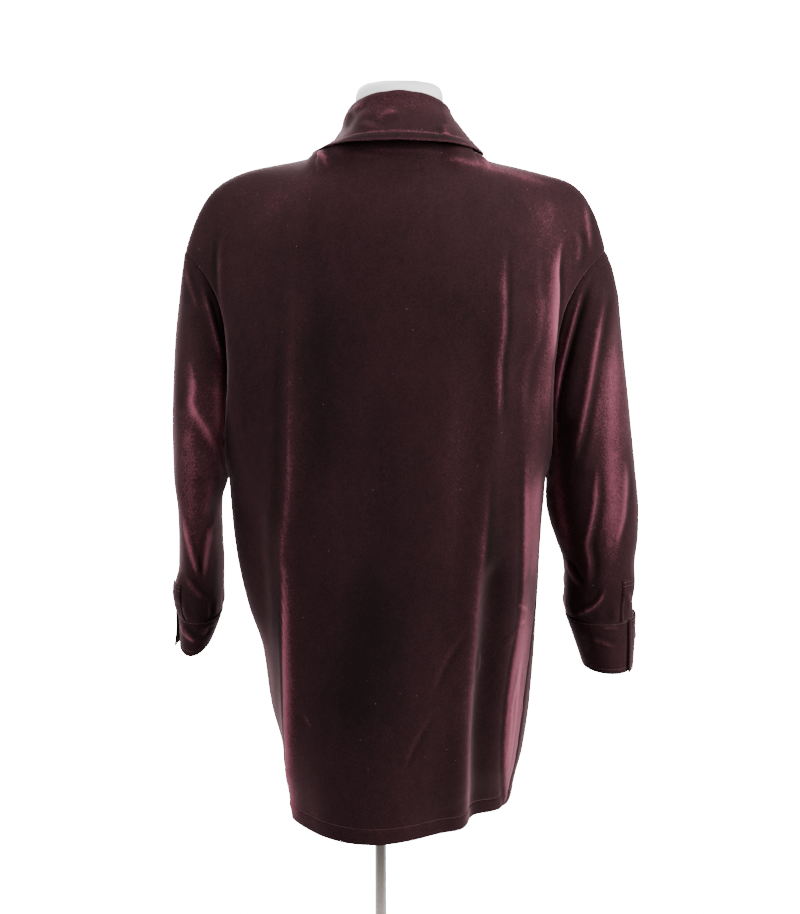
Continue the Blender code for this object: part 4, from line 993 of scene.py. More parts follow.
def keep_spot(middle, normals, z):
    """Place of one front button on a run of points, and the buttonhole under it."""
    order = np.argsort(middle[:, 2])
    spot = np.array([np.interp(z, middle[order, 2], middle[order, a]) for a in range(3)])
    turn = unit(np.array([np.interp(z, middle[order, 2], normals[order, a]) for a in range(3)]))
    SPOTS.append((lean(spot + turn * BUTTON_LIFT), turn))
    up = unit(np.array([0.0, 0.0, 1.0]) - turn * turn[2])
    across = np.cross(up, turn)
    ring = []
    for i in range(HOLE_STEPS + 1):
        angle = 2 * math.pi * i / HOLE_STEPS
        ring.append(lean(spot + up * HOLE_HALF_LENGTH * math.sin(angle)
                         + across * HOLE_HALF_WIDTH * math.cos(angle) + turn * 0.0001))
    LINES["holes"].append((np.array(ring), np.array([turn] * len(ring))))


# sleeves, plackets and cuffs

def hidden_side(rows):
    """The same creases for the side that the photo doesn't show, a little lower and softer."""
    moved = []
    for rise, left, right, left_dip, right_dip, shine, path in rows:
        lower = tuple((h - 0.024, a * 0.985) for h, a in path)
        moved.append((rise * 0.85, left * 1.15, right * 1.1, right_dip, left_dip, shine * 0.8,
                      lower))
    return tuple(moved)


def build_sleeve(side, word, folds, creases, cloth):
    rows = sleeve_table(side)
    phi = np.concatenate([row_phi()[::-1], -row_phi()[1:-1]])
    t = np.linspace(0, 1, SLEEVE_RINGS + 1)
    grid = np.array([sleeve_ring(rows, v, phi, side) for v in t])
    centre = grid.mean(axis=1, keepdims=True)
    normals = away_from(grid, grid_normals(grid, True), centre)
    rise, light = relief(grid, normals, creases)
    rise_f, light_f = relief(grid, normals, hidden_side(creases), -1.0)
    ends = smooth(t / 0.06)[:, None] * smooth((1 - t) / 0.05)[:, None]
    lift = cloth.creases * (rise + rise_f) + fold_rise(grid, normals, folds)
    lift = lift + swell(grid, cloth.swell * 1.2, 4.0 * side)
    # gathers where the sleeve is drawn into its cuff
    pleat = np.cos(phi * 9 + 1.3) * 0.6 + np.cos(phi * 15 + 0.4) * 0.4
    lift = lift + 0.0011 * pleat[None, :] * smooth((t - 0.86) / 0.08)[:, None]
    grid = grid + normals * (lift * ends)[..., None]
    seam = edge_reach(grid, "low")
    cuff_seam = edge_reach(grid, "high")
    lift = pucker(grid, seam, cloth.pucker, 3.0) - cloth.seam_dip * bell(seam, SEAM_GROOVE)
    lift = lift - cloth.seam_dip * bell(cuff_seam, CUFF_SEAM_GROOVE)
    grid = grid + normals * lift[..., None]
    normals = away_from(grid, grid_normals(grid, True), centre)
    # a seam allowance lies under the edge of the body
    tucked = grid[0] + 0.004 * unit(grid[0] - grid[4]) - 0.0024 * normals[0]
    grid = np.vstack([tucked[None], grid])
    normals = np.vstack([normals[:1], normals])
    light = np.vstack([light[:1], light])
    light_f = np.vstack([light_f[:1], light_f])
    name = "sleeve_" + word
    sewn(make_cloth("cloth_" + name, grid, normals, cloth.wall, light + light_f, True), name)
    # the placket is a narrow strip along the sleeve's opening
    low = int(round(SLEEVE_RINGS * 0.8))
    strip = grid[low:, 16:33].copy()
    strip_n = normals[low:, 16:33]
    strip = strip + strip_n * (0.0004 + STRIP_WALL)
    spread = np.zeros(strip.shape[:2])
    sewn(make_cloth("cloth_placket_" + word, strip, strip_n, STRIP_WALL, spread), "placket_" + word)
    for edge in ("first", "last", "low"):
        keep_line(strip, strip_n, edge, 0.0022)
    keep_line(strip, strip_n, "low", 0.0070)


def build_cuff(side, word, rows, end, creases, cloth):
    start = end - CUFF_OVERLAP
    psi = np.linspace(start, end + 2 * math.pi, CUFF_COLUMNS + 1)
    levels = np.linspace(0, 1, CUFF_ROWS + 1)
    plain = tuple(r[:7] + (0.0,) for r in rows)
    grid = np.array([sleeve_ring(plain, v, psi, side) for v in levels])
    hang = column(SLEEVE_FIELDS, rows, "bow")
    sag = np.array([curve(np.linspace(0, 1, len(rows)), hang, v) for v in levels])
    grid[..., 2] -= sag[:, None] * np.sin(psi)[None, :] ** 2
    centre = grid.mean(axis=1, keepdims=True)
    normals = away_from(grid, grid_normals(grid, False), centre)
    lift = CUFF_LAYER * smooth((psi - (2 * math.pi + start - 0.75)) / 0.55)[None, :] + 0.0006
    # the buttoned end stands off a little at its lower corner
    corner = smooth((psi - (end + 2 * math.pi - 0.32)) / 0.32)[None, :] * levels[:, None] ** 1.5
    lift = lift + cloth.tab * corner * (1.0 if side > 0 else 0.35)
    rise, light = relief(grid, normals, creases)
    rise_f, light_f = relief(grid, normals, hidden_side(creases), -1.0)
    lift = lift + cloth.creases * (rise + rise_f) + swell(grid, 0.0007, 6.0 * side)
    for edge, far in (("low", 0.0030), ("high", 0.0060), ("first", 0.0060), ("last", 0.0060)):
        reach = edge_reach(grid, edge)
        lift = lift - cloth.stitch_dip * 0.7 * bell(reach - far, STITCH_GROOVE)
    grid = grid + normals * lift[..., None]
    grid[0, :, 2] += 0.0010
    normals = away_from(grid, grid_normals(grid, False), centre)
    name = "cuff_" + word
    sewn(make_cloth("cloth_" + name, grid, normals, cloth.wall, light + light_f), name)
    for edge, far in (("low", 0.0030), ("high", 0.0060), ("last", 0.0060)):
        keep_line(grid, normals, edge, far, 6, -6)
    at = int(np.argmin(np.abs(psi - (2 * math.pi - math.radians(14)))))
    half = CUFF_ROWS // 2
    SPOTS.append((lean(grid[half, at] + normals[half, at] * BUTTON_LIFT), normals[half, at]))


# collar

def stand_ring(level, turn):
    """Collar stand between the neck seam (level 0) and its top (level 1)."""
    low = neck_seam(turn) + np.array([0.0, 0.0, STAND_LIFT])
    c = np.cos(turn)
    s = np.sin(turn)
    high = np.stack([STAND_TOP_HALF * c, STAND_TOP_DEPTH_AT + STAND_TOP_DEPTH * s,
                     STAND_TOP_Z + STAND_TOP_TILT * s - STAND_TOP_SAG * s * s], axis=-1)
    high[..., 2] += ROLL_PEAK * bell(c, 0.25) * (s > 0)
    high[..., 2] -= ROLL_FALL * smooth((np.abs(c) - 0.35) / 0.6)
    bow = np.sin(math.pi * level) * 0.0015
    out = low * (1 - level) + high * level
    out[..., 0] += bow * c
    out[..., 1] += bow * s
    return out


def fall_edge(turn):
    degrees = np.degrees(turn)
    folded = np.where(degrees > 90, 180 - degrees, degrees)
    side = np.where(degrees > 90, -1.0, 1.0)
    knots = column(FALL_FIELDS, FALL_EDGE_ROWS, "turn")
    x = curve(knots, column(FALL_FIELDS, FALL_EDGE_ROWS, "across"), folded) * side
    y = curve(knots, column(FALL_FIELDS, FALL_EDGE_ROWS, "depth"), folded)
    z = curve(knots, column(FALL_FIELDS, FALL_EDGE_ROWS, "height"), folded)
    return np.stack([x, y, z], axis=-1)


def build_collar(cloth):
    past = math.asin(LAP_HALF / NECK_HALF)
    turn = np.linspace(-math.pi / 2 - past * 0.6, 1.5 * math.pi + past * 0.6, 240)
    stand = np.array([stand_ring(v, turn) for v in np.linspace(0, 1, 18)])
    # a seam allowance lies inside the neck
    tuck = np.stack([0.0016 * np.cos(turn), 0.0016 * np.sin(turn), 0.003 + 0 * turn], axis=-1)
    stand = np.vstack([(stand[0] - tuck)[None], stand])
    centre = np.array([0.0, 0.0, 1.47])
    n_stand = away_from(stand, grid_normals(stand, False), centre)
    thing = make_cloth("cloth_collar_stand", stand, n_stand, cloth.wall, np.zeros(stand.shape[:2]))
    sewn(thing, "collar_stand")
    turn = np.linspace(-math.pi / 2 + FALL_OPEN, 1.5 * math.pi - FALL_OPEN, FALL_COLUMNS + 1)
    top = stand_ring(1.0, turn)
    out = unit(np.stack([np.cos(turn), np.sin(turn), 0 * turn], axis=-1))
    up = np.array([0.0, 0.0, 1.0])
    edge = fall_edge(turn)
    # the leaf lies down on the shoulders, and is drawn in above its edge at the left
    shoulder = np.maximum(np.cos(turn) ** 2, 0) ** 3
    edge[:, 2] -= CORNER_DROP * shoulder
    drawn = LEAF_DRAWN * smooth(1 - np.abs(turn - math.radians(12)) / math.radians(55))
    keys = [top + up * 0.0006 - out * 0.0002]
    keys.append(top + up * FALL_ROLL * 0.62 + out * 0.0006)
    keys.append(top + up * FALL_ROLL + out * 0.0036)
    keys.append(top + up * FALL_ROLL * 0.62 + out * 0.0072)
    start = top - up * 0.001 + out * 0.0098
    keys.append(start)
    for f in (0.33, 0.67, 1.0):
        lift = -0.001 - 0.009 * f * np.maximum(np.cos(turn), 0) ** 2
        lift = lift + 0.009 * smooth(-np.sin(turn) * 1.2)
        lift = lift[:, None] * math.sin(math.pi * f)
        pull = (drawn * math.sin(math.pi * f ** 1.5))[:, None]
        keys.append(start + (edge - start) * f + out * (lift - pull) + up * lift * 0.5)
    keys = np.array(keys)
    step = np.linalg.norm(np.diff(keys, axis=0), axis=-1)
    run = np.vstack([np.zeros(len(turn)), np.cumsum(step, axis=0)])
    share = np.concatenate([np.linspace(0, 0.3, 17)[:-1], np.linspace(0.3, 1, FALL_ROWS - 15)])
    fall = np.zeros((len(share), len(turn), 3))
    for c in range(len(turn)):
        for axis in range(3):
            fall[:, c, axis] = curve(run[:, c], keys[:, c, axis], share * run[-1, c])
    normals = grid_normals(fall, False)
    if np.sum(out * normals[-2]) < 0:
        normals = -normals
    low = edge_reach(fall, "high")
    ends = np.minimum(edge_reach(fall, "first"), edge_reach(fall, "last"))
    rim = np.minimum(low, ends)
    lift = swell(fall, 0.0009, 31.0) * smooth(share[:, None] / 0.35)
    # the stitched edge: a groove, then a soft roll outside it
    lift = lift - cloth.stitch_dip * 0.8 * bell(rim - COLLAR_STITCH, HEM_GROOVE)
    lift = lift + 0.0003 * smooth((COLLAR_STITCH - rim) / 0.004)
    rise, light = relief(fall, normals, COLLAR_CREASES)
    # painted highlight lines beside the stitching and along the edge, and painted shade on the band
    # between them
    light = light + 0.25 * bell(rim - COLLAR_STITCH - 0.0012, 0.0012)
    light = light + 0.25 * bell(rim, 0.0012) - 0.06 * smooth((COLLAR_STITCH - rim) / 0.003)
    fall = fall + normals * (lift + cloth.creases * rise)[..., None]
    normals = grid_normals(fall, False)
    if np.sum(out * normals[-2]) < 0:
        normals = -normals
    sewn(make_cloth("cloth_collar_fall", fall, normals, cloth.wall, light), "collar_fall")
    keep_line(fall, normals, "high", COLLAR_STITCH, 12, -12)
    for edge_name in ("first", "last"):
        keep_line(fall, normals, edge_name, COLLAR_STITCH, 18, -9)


# finishes

def node(tree, kind, inputs=None, **settings):
    made = tree.nodes.new(kind)
    for key, value in settings.items():
        setattr(made, key, value)
    for key, value in (inputs or {}).items():
        if isinstance(value, bpy.types.NodeSocket):
            tree.links.new(value, made.inputs[key])
        else:
            made.inputs[key].default_value = value
    return made


def first(tree, kind, inputs=None, **settings):
    """The first output of a new node."""
    return node(tree, kind, inputs, **settings).outputs[0]


def maths(tree, kind, a, b=0.0, c=0.0):
    return first(tree, "ShaderNodeMath", {0: a, 1: b, 2: c}, operation=kind)


def marks(tree, spot, scale, detail, roughness=0.5, distortion=0.0):
    """Uneven marks of one size, from 0 to 1."""
    return first(tree, "ShaderNodeTexNoise", {
        "Vector": spot, "Scale": scale, "Detail": detail, "Roughness": roughness,
        "Distortion": distortion})


def between(tree, value, low, high, start=0.0, end=1.0, **settings):
    """The value stretched from start and end to low and high."""
    return first(tree, "ShaderNodeMapRange", {
        "Value": value, "From Min": start, "From Max": end, "To Min": low, "To Max": high},
        **settings)


def from_middle(tree, place):
    """Distance from the upright line through the stand's middle, and the height."""
    axes = node(tree, "ShaderNodeSeparateXYZ", {0: place}).outputs
    square = [maths(tree, "MULTIPLY", axes[i], axes[i]) for i in (0, 1)]
    return maths(tree, "SQRT", maths(tree, "ADD", square[0], square[1])), axes[2]


def group(name, takes, gives):
    """An empty shader group with named float or vector inputs and float outputs."""
    tree = bpy.data.node_groups.new(name, "ShaderNodeTree")
    for key, value in takes.items():
        kind = "NodeSocketVector" if value is None else "NodeSocketFloat"
        socket = tree.interface.new_socket(key, in_out="INPUT", socket_type=kind)
        if value is not None:
            socket.default_value = value
    for key in gives:
        tree.interface.new_socket(key, in_out="OUTPUT", socket_type="NodeSocketFloat")
    return tree, tree.nodes.new("NodeGroupInput").outputs, tree.nodes.new("NodeGroupOutput").inputs


def pile_group():
    """How velvet pile leans: broad patches, brushed marks and single tufts, added to the painted
    highlight and shade that comes in.
    """
    tree, take, give = group("pile", {
        "Place": None, "Nap": 0.0, "Patches": 0.075, "Brushing": 0.045, "Tufts": 0.17},
        ("Tone", "Height"))
    spot = first(tree, "ShaderNodeMapping", {"Vector": take["Place"], "Scale": (1.0, 1.0, 0.55)})
    patch = marks(tree, spot, 9.0, 4.0, 0.6, 0.3)
    brush = marks(tree, spot, 85.0, 5.0, 0.7, 0.6)
    tuft = marks(tree, take["Place"], 620.0, 3.0, 0.75)
    tone = take["Nap"]
    for share, size in ((patch, "Patches"), (brush, "Brushing"), (tuft, "Tufts")):
        swing = maths(tree, "MULTIPLY", take[size], 4.0)
        tone = maths(tree, "MULTIPLY_ADD", maths(tree, "SUBTRACT", share, 0.5), swing, tone)
    tree.links.new(tone, give["Tone"])
    height = maths(tree, "MULTIPLY_ADD", brush, 0.6, maths(tree, "MULTIPLY", tuft, 0.4))
    tree.links.new(height, give["Height"])
    return tree


def grain_group():
    """Fine grain of a moulded or ground surface, with a mask of worn and dusty spots."""
    tree, take, give = group("fine grain", {"Place": None, "Scale": 300.0, "Spots": 12.0},
                             ("Height", "Mask"))
    tree.links.new(marks(tree, take["Place"], take["Scale"], 4.0, 0.6), give["Height"])
    broad = marks(tree, take["Place"], take["Spots"], 5.0, 0.65)
    tree.links.new(between(tree, broad, 0.0, 1.0, 0.42, 0.68), give["Mask"])


def grained(tree, place, **sizes):
    """The fine grain laid over one finish, as its height and its mask."""
    return node(tree, "ShaderNodeGroup", {"Place": place, **sizes},
                node_tree=bpy.data.node_groups["fine grain"]).outputs


def finish(name, fixed):
    """A new material with one Principled shader; fixed holds its plain values."""
    made = bpy.data.materials.new(name)
    made.use_nodes = True
    tree = made.node_tree
    tree.nodes.clear()
    shader = node(tree, "ShaderNodeBsdfPrincipled", fixed)
    out = node(tree, "ShaderNodeOutputMaterial")
    tree.links.new(shader.outputs[0], out.inputs["Surface"])
    return tree, shader, node(tree, "ShaderNodeTexCoord").outputs["Object"]


def ramp(tree, value, stops):
    made = node(tree, "ShaderNodeValToRGB", {"Fac": value})
    band = made.color_ramp
    while len(band.elements) < len(stops):
        band.elements.new(0.5)
    for element, (at, colour) in zip(band.elements, stops):
        element.position = at
        element.color = tuple(colour) + (1.0,)
    return made.outputs["Color"]


def worn(tree, mask, colour, share):
    """A plain colour that is only this share as light where the mask is full."""
    return ramp(tree, mask, ((0.0, colour[:]), (1.0, tuple(share * c for c in colour))))


def wired(tree, shader, **links):
    for key, socket in links.items():
        tree.links.new(socket, shader.inputs[key.replace("_", " ")])


def bumped(tree, height, strength, distance):
    return first(tree, "ShaderNodeBump", {"Height": height, "Strength": strength,
                                          "Distance": distance})


def mix_velvet(cloth):
    pile = pile_group()
    grain_group()
    deep, middle, light = cloth.deep[:], cloth.middle[:], cloth.light[:]
    # the ramp runs from deep to light: painted shade pushes the tone towards the deep end, painted
    # highlight up to the light colour, and the pile's patches move it at random
    stops = ((0.0, tuple(0.35 * c for c in deep)), (0.28, deep), (0.55, middle), (1.0, light))
    tree, shader, place = finish("burgundy velvet", {
        "Roughness": 0.82, "Specular IOR Level": 0.06, "Sheen Weight": cloth.sheen,
        "Sheen Roughness": 0.32, "Sheen Tint": (0.90, 0.55, 0.62, 1.0)})
    # painted highlight and shade kept on the cloth
    nap = node(tree, "ShaderNodeAttribute", attribute_name="nap").outputs["Fac"]
    pile_and_painted_light = node(tree, "ShaderNodeGroup", {"Place": place, "Nap": nap}, node_tree=pile).outputs
    tone = maths(tree, "ADD", pile_and_painted_light["Tone"], 0.40)
    colour = ramp(tree, tone, stops)
    # a few pale specks of lint
    lint = node(tree, "ShaderNodeTexVoronoi", {"Vector": place, "Scale": 60.0, "Randomness": 1.0})
    speck = between(tree, lint.outputs["Distance"], 0.0, 0.5, 0.035, 0.02)
    pale = node(tree, "ShaderNodeMix", {"Factor": speck, "A": colour, "B": (0.30, 0.20, 0.22, 1.0)},
                data_type="RGBA").outputs[2]
    wired(tree, shader, Base_Color=pale, Roughness=between(tree, tone, 0.9, 0.7),
          Normal=bumped(tree, pile_and_painted_light["Height"], 0.3, 0.0008))
    # the reverse of the cloth shows its plain woven ground
    tree, shader, place = finish("velvet ground", {
        "Roughness": 0.9, "Specular IOR Level": 0.2, "Sheen Weight": 0.15, "Sheen Roughness": 0.5})
    flat = first(tree, "ShaderNodeUVMap", uv_map="cloth")
    threads = []
    for way in ("X", "Y"):
        wave = node(tree, "ShaderNodeTexWave", {
            "Vector": flat, "Scale": 260.0, "Distortion": 1.2, "Detail": 2.0, "Detail Scale": 3.0},
            bands_direction=way)
        threads.append(wave.outputs["Fac"])
    weave = maths(tree, "MULTIPLY", threads[0], threads[1])
    dust = maths(tree, "MULTIPLY", grained(tree, place, Spots=9.0)["Mask"], 0.35)
    shade = maths(tree, "MULTIPLY_ADD", weave, 0.5, dust)
    colour = ramp(tree, shade, ((0.0, (0.012, 0.004, 0.006)), (1.0, (0.075, 0.024, 0.034))))
    wired(tree, shader, Base_Color=colour, Normal=bumped(tree, weave, 0.5, 0.0003))


def mix_small(stitch, button, stand):
    tree, shader, place = finish("burgundy thread", {
        "Roughness": 0.55, "Specular IOR Level": 0.3, "Sheen Weight": 0.4, "Sheen Roughness": 0.4})
    ply = grained(tree, place, Scale=1400.0, Spots=40.0)["Height"]
    low = tuple(0.55 * c for c in stitch.colour)
    wired(tree, shader, Base_Color=ramp(tree, ply, ((0.3, low), (0.7, stitch.colour[:]))),
          Normal=bumped(tree, ply, 0.5, 0.0002))
    tree, shader, place = finish("dark horn", {
        "Specular IOR Level": 0.5, "Coat Weight": 0.25, "Coat Roughness": 0.12})
    layer = first(tree, "ShaderNodeMapping", {"Vector": place, "Scale": (1.0, 1.0, 3.0)})
    vein = marks(tree, layer, 210.0, 5.0, distortion=1.4)
    wear = grained(tree, place, Scale=900.0, Spots=120.0)
    pale = tuple(min(4.5 * c, 1.0) for c in button.colour)
    wired(tree, shader, Base_Color=ramp(tree, vein, ((0.35, button.colour[:]), (0.75, pale))),
          Roughness=between(tree, wear["Mask"], 0.22, 0.42),
          Normal=bumped(tree, wear["Height"], 0.12, 0.0002))
    tree, shader, place = finish("form shell", {"Specular IOR Level": 0.45})
    skin = grained(tree, place, Scale=420.0, Spots=6.0)
    wired(tree, shader, Base_Color=worn(tree, skin["Mask"], stand.shell, 0.90),
          Roughness=between(tree, skin["Mask"], 0.38, 0.5),
          Normal=bumped(tree, skin["Height"], 0.10, 0.0004))
    tree, shader, place = finish("chromed tube", {"Metallic": 1.0, "Specular IOR Level": 0.6})
    drawn = first(tree, "ShaderNodeMapping", {"Vector": place, "Scale": (1.0, 1.0, 0.02)})
    rub = grained(tree, drawn, Scale=900.0, Spots=60.0)
    # the chrome is tinted pinkish brown, a painted reflection of the velvet; the rubbed mask varies it
    painted_reflection_tints = ((0.0, (0.78, 0.68, 0.63)), (1.0, (0.62, 0.53, 0.48)))
    wired(tree, shader, Base_Color=ramp(tree, rub["Mask"], painted_reflection_tints),
          Roughness=between(tree, rub["Mask"], 0.07, 0.2),
          Normal=bumped(tree, rub["Height"], 0.04, 0.0002))
    tree, shader, place = finish("spun steel", {"Metallic": 1.0, "Specular IOR Level": 0.5})
    far, height = from_middle(tree, place)
    round_spot = first(tree, "ShaderNodeCombineXYZ", {0: far, 2: height})
    rings = grained(tree, round_spot, Scale=1500.0, Spots=90.0)
    smear = grained(tree, place, Spots=14.0)
    wired(tree, shader, Base_Color=worn(tree, smear["Mask"], stand.steel, 0.8),
          Roughness=between(tree, rings["Mask"], 0.24, 0.42),
          Normal=bumped(tree, rings["Height"], 0.10, 0.0003))


# stitching and buttons, laid out with geometry nodes

def nodes_tree(name, takes):
    tree = bpy.data.node_groups.new(name, "GeometryNodeTree")
    tree.interface.new_socket("Geometry", in_out="INPUT", socket_type="NodeSocketGeometry")
    names = {}
    for key, kind in takes.items():
        socket = tree.interface.new_socket(key, in_out="INPUT", socket_type="NodeSocket" + kind)
        names[key] = socket.identifier
    tree.interface.new_socket("Geometry", in_out="OUTPUT", socket_type="NodeSocketGeometry")
    take = tree.nodes.new("NodeGroupInput").outputs
    give = tree.nodes.new("NodeGroupOutput").inputs
    return tree, take, give, names


def facing(tree, ahead, aside):
    """A turn that lays Z along the first direction and X towards the second."""
    turn = first(tree, "FunctionNodeAlignRotationToVector", {"Vector": ahead}, axis="Z")
    return first(tree, "FunctionNodeAlignRotationToVector", {"Rotation": turn, "Vector": aside},
                 axis="X", pivot_axis="Z")


def outward(tree):
    """The direction away from the cloth that every point carries."""
    return first(tree, "GeometryNodeInputNamedAttribute", {"Name": "out"}, data_type="FLOAT_VECTOR")


def laid_at(tree, points, part, turn):
    """A real copy of the part at every point."""
    laid = first(tree, "GeometryNodeInstanceOnPoints", {"Points": points, "Instance": part,
                                                        "Rotation": turn})
    return first(tree, "GeometryNodeRealizeInstances", {"Geometry": laid})


def stitch_tree():
    """Tapered lengths of thread at an even pitch along every run of points."""
    tree, take, give, names = nodes_tree("running stitch", {
        "Pitch": "Float", "Length": "Float", "Radius": "Float", "Thread": "Material"})
    half = maths(tree, "MULTIPLY", take["Length"], 0.5)
    start = first(tree, "ShaderNodeCombineXYZ", {2: maths(tree, "MULTIPLY", half, -1.0)})
    end = first(tree, "ShaderNodeCombineXYZ", {2: half})
    line = first(tree, "GeometryNodeCurvePrimitiveLine", {"Start": start, "End": end})
    line = first(tree, "GeometryNodeResampleCurve", {"Curve": line, "Count": 5})
    along = node(tree, "GeometryNodeSplineParameter").outputs["Factor"]
    arch = maths(tree, "SINE", maths(tree, "MULTIPLY", along, math.pi))
    rise = first(tree, "ShaderNodeCombineXYZ", {0: maths(tree, "MULTIPLY", arch, take["Radius"])})
    line = first(tree, "GeometryNodeSetPosition", {"Geometry": line, "Offset": rise})
    width = maths(tree, "MULTIPLY_ADD", arch, 0.65, 0.35)
    line = first(tree, "GeometryNodeSetCurveRadius", {"Curve": line, "Radius": width})
    ring = first(tree, "GeometryNodeCurvePrimitiveCircle", {
        "Resolution": 6, "Radius": take["Radius"]})
    thread = first(tree, "GeometryNodeCurveToMesh", {
        "Curve": line, "Profile Curve": ring, "Fill Caps": True})
    runs = first(tree, "GeometryNodeMeshToCurve", {"Mesh": take["Geometry"]})
    spots = node(tree, "GeometryNodeCurveToPoints", {"Curve": runs, "Length": take["Pitch"]},
                 mode="LENGTH").outputs
    turn = facing(tree, spots["Tangent"], outward(tree))
    real = laid_at(tree, spots["Points"], thread, turn)
    soft = first(tree, "GeometryNodeSetShadeSmooth", {"Geometry": real})
    done = first(tree, "GeometryNodeSetMaterial", {"Geometry": soft, "Material": take["Thread"]})
    tree.links.new(done, give["Geometry"])
    return tree, names


def button_tree():
    """One copy of a small part at every spot, facing out, each turned a little."""
    tree, take, give, names = nodes_tree("sewn on", {"Part": "Object", "Finish": "Material"})
    part = node(tree, "GeometryNodeObjectInfo", {"Object": take["Part"]}).outputs["Geometry"]
    turn = facing(tree, outward(tree), (0.0, 0.0, 1.0))
    spin = first(tree, "FunctionNodeRandomValue", {
        "Min": (0.0, 0.0, -0.5), "Max": (0.0, 0.0, 0.5), "Seed": 7}, data_type="FLOAT_VECTOR")
    turn = first(tree, "FunctionNodeRotateRotation", {"Rotation": turn, "Rotate By": spin},
                 rotation_space="LOCAL")
    real = laid_at(tree, take["Geometry"], part, turn)
    done = first(tree, "GeometryNodeSetMaterial", {"Geometry": real, "Material": take["Finish"]})
    tree.links.new(done, give["Geometry"])
    return tree, names


def laid_out(name, runs, tree, names, values):
    """Plain mesh that a node tree makes from runs of points with their outward directions."""
    verts = [tuple(p) for points, _ in runs for p in points]
    out = np.concatenate([normals for _, normals in runs]).astype(np.float32)
    edges = []
    at = 0
    for points, _ in runs:
        edges += [(at + i, at + i + 1) for i in range(len(points) - 1)]
        at += len(points)
    mesh = bpy.data.meshes.new(name + " runs")
    mesh.from_pydata(verts, edges, [])
    mesh.attributes.new("out", "FLOAT_VECTOR", "POINT").data.foreach_set("vector", out.reshape(-1))
    source = placed(name + " runs", mesh)
    modifier = source.modifiers.new("layout", "NODES")
    modifier.node_group = tree
    for key, value in values.items():
        modifier[names[key]] = value
    seen = source.evaluated_get(bpy.context.evaluated_depsgraph_get())
    made = bpy.data.meshes.new_from_object(seen)
    made.name = name
    source.modifiers.remove(modifier)
    bpy.data.objects.remove(source)
    return placed(name, made)


def build_stitching(stitch):
    tree, names = stitch_tree()
    thread = bpy.data.materials["burgundy thread"]
    sizes = {"Pitch": stitch.pitch, "Length": stitch.length, "Radius": stitch.radius, "Thread": thread}
    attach(laid_out("stitching", LINES["stitches"], tree, names, sizes), "root")
    tight = {"Pitch": 0.0011, "Length": 0.0016, "Radius": 0.0003, "Thread": thread}
    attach(laid_out("buttonholes", LINES["holes"], tree, names, tight), "root")


def turned(name, profile, segments, finish_name):
    """Round piece from (radius, height) pairs; a radius of zero closes it at an end."""
    verts = []
    rings = []
    for radius, height in profile:
        if radius == 0:
            rings.append([len(verts)])
            verts.append((0.0, 0.0, height))
            continue
        rings.append(list(range(len(verts), len(verts) + segments)))
        for i in range(segments):
            angle = 2 * math.pi * i / segments
            verts.append((radius * math.cos(angle), radius * math.sin(angle), height))
    faces = []
    for a, b in zip(rings, rings[1:]):
        for i in range(segments):
            j = (i + 1) % segments
            face = [a[i % len(a)], a[j % len(a)], b[j % len(b)], b[i % len(b)]]
            faces.append(list(dict.fromkeys(face)))
    mesh = bpy.data.meshes.new(name)
    mesh.from_pydata(verts, [], faces)
    mesh.materials.append(bpy.data.materials[finish_name])
    shaded(mesh)
    return placed(name, mesh)


def round_edge(radius, height, size, up, steps=5):
    """Quarter-round corner between a flat face and a wall, as (radius, height) pairs."""
    pairs = []
    for i in range(steps + 1):
        angle = math.pi / 2 * i / steps
        c = size * math.cos(angle)
        s = size * math.sin(angle)
        if up:
            pairs.append((radius - size + c, height - size + s))
        else:
            pairs.append((radius - size + s, height + size - c))
    return pairs


def strand_rings(made, across, shift):
    """One strand of thread that comes up through a hole and goes down the next."""
    side = Vector((-across.y, across.x, 0.0)).normalized()
    up = Vector((0.0, 0.0, 1.0))
    rings = []
    for f in (-1.0, -0.8, -0.4, 0.0, 0.4, 0.8, 1.0):
        height = BUTTON_THICK * (0.30 + 0.56 * min(1.0, 2.6 * (1 - abs(f))))
        spot = across * f * THREAD_HOLE_AT + Vector((0.0, 0.0, height))
        ring = []
        for i in range(8):
            angle = 2 * math.pi * i / 8
            way = side * math.cos(angle) + up * math.sin(angle)
            ring.append(made.verts.new(spot + side * shift + way * STRAND_R))
        rings.append(ring)
    for a, b in zip(rings, rings[1:]):
        for i in range(8):
            made.faces.new((a[i], a[(i + 1) % 8], b[(i + 1) % 8], b[i]))
    made.faces.new(rings[0][::-1])
    made.faces.new(rings[-1])


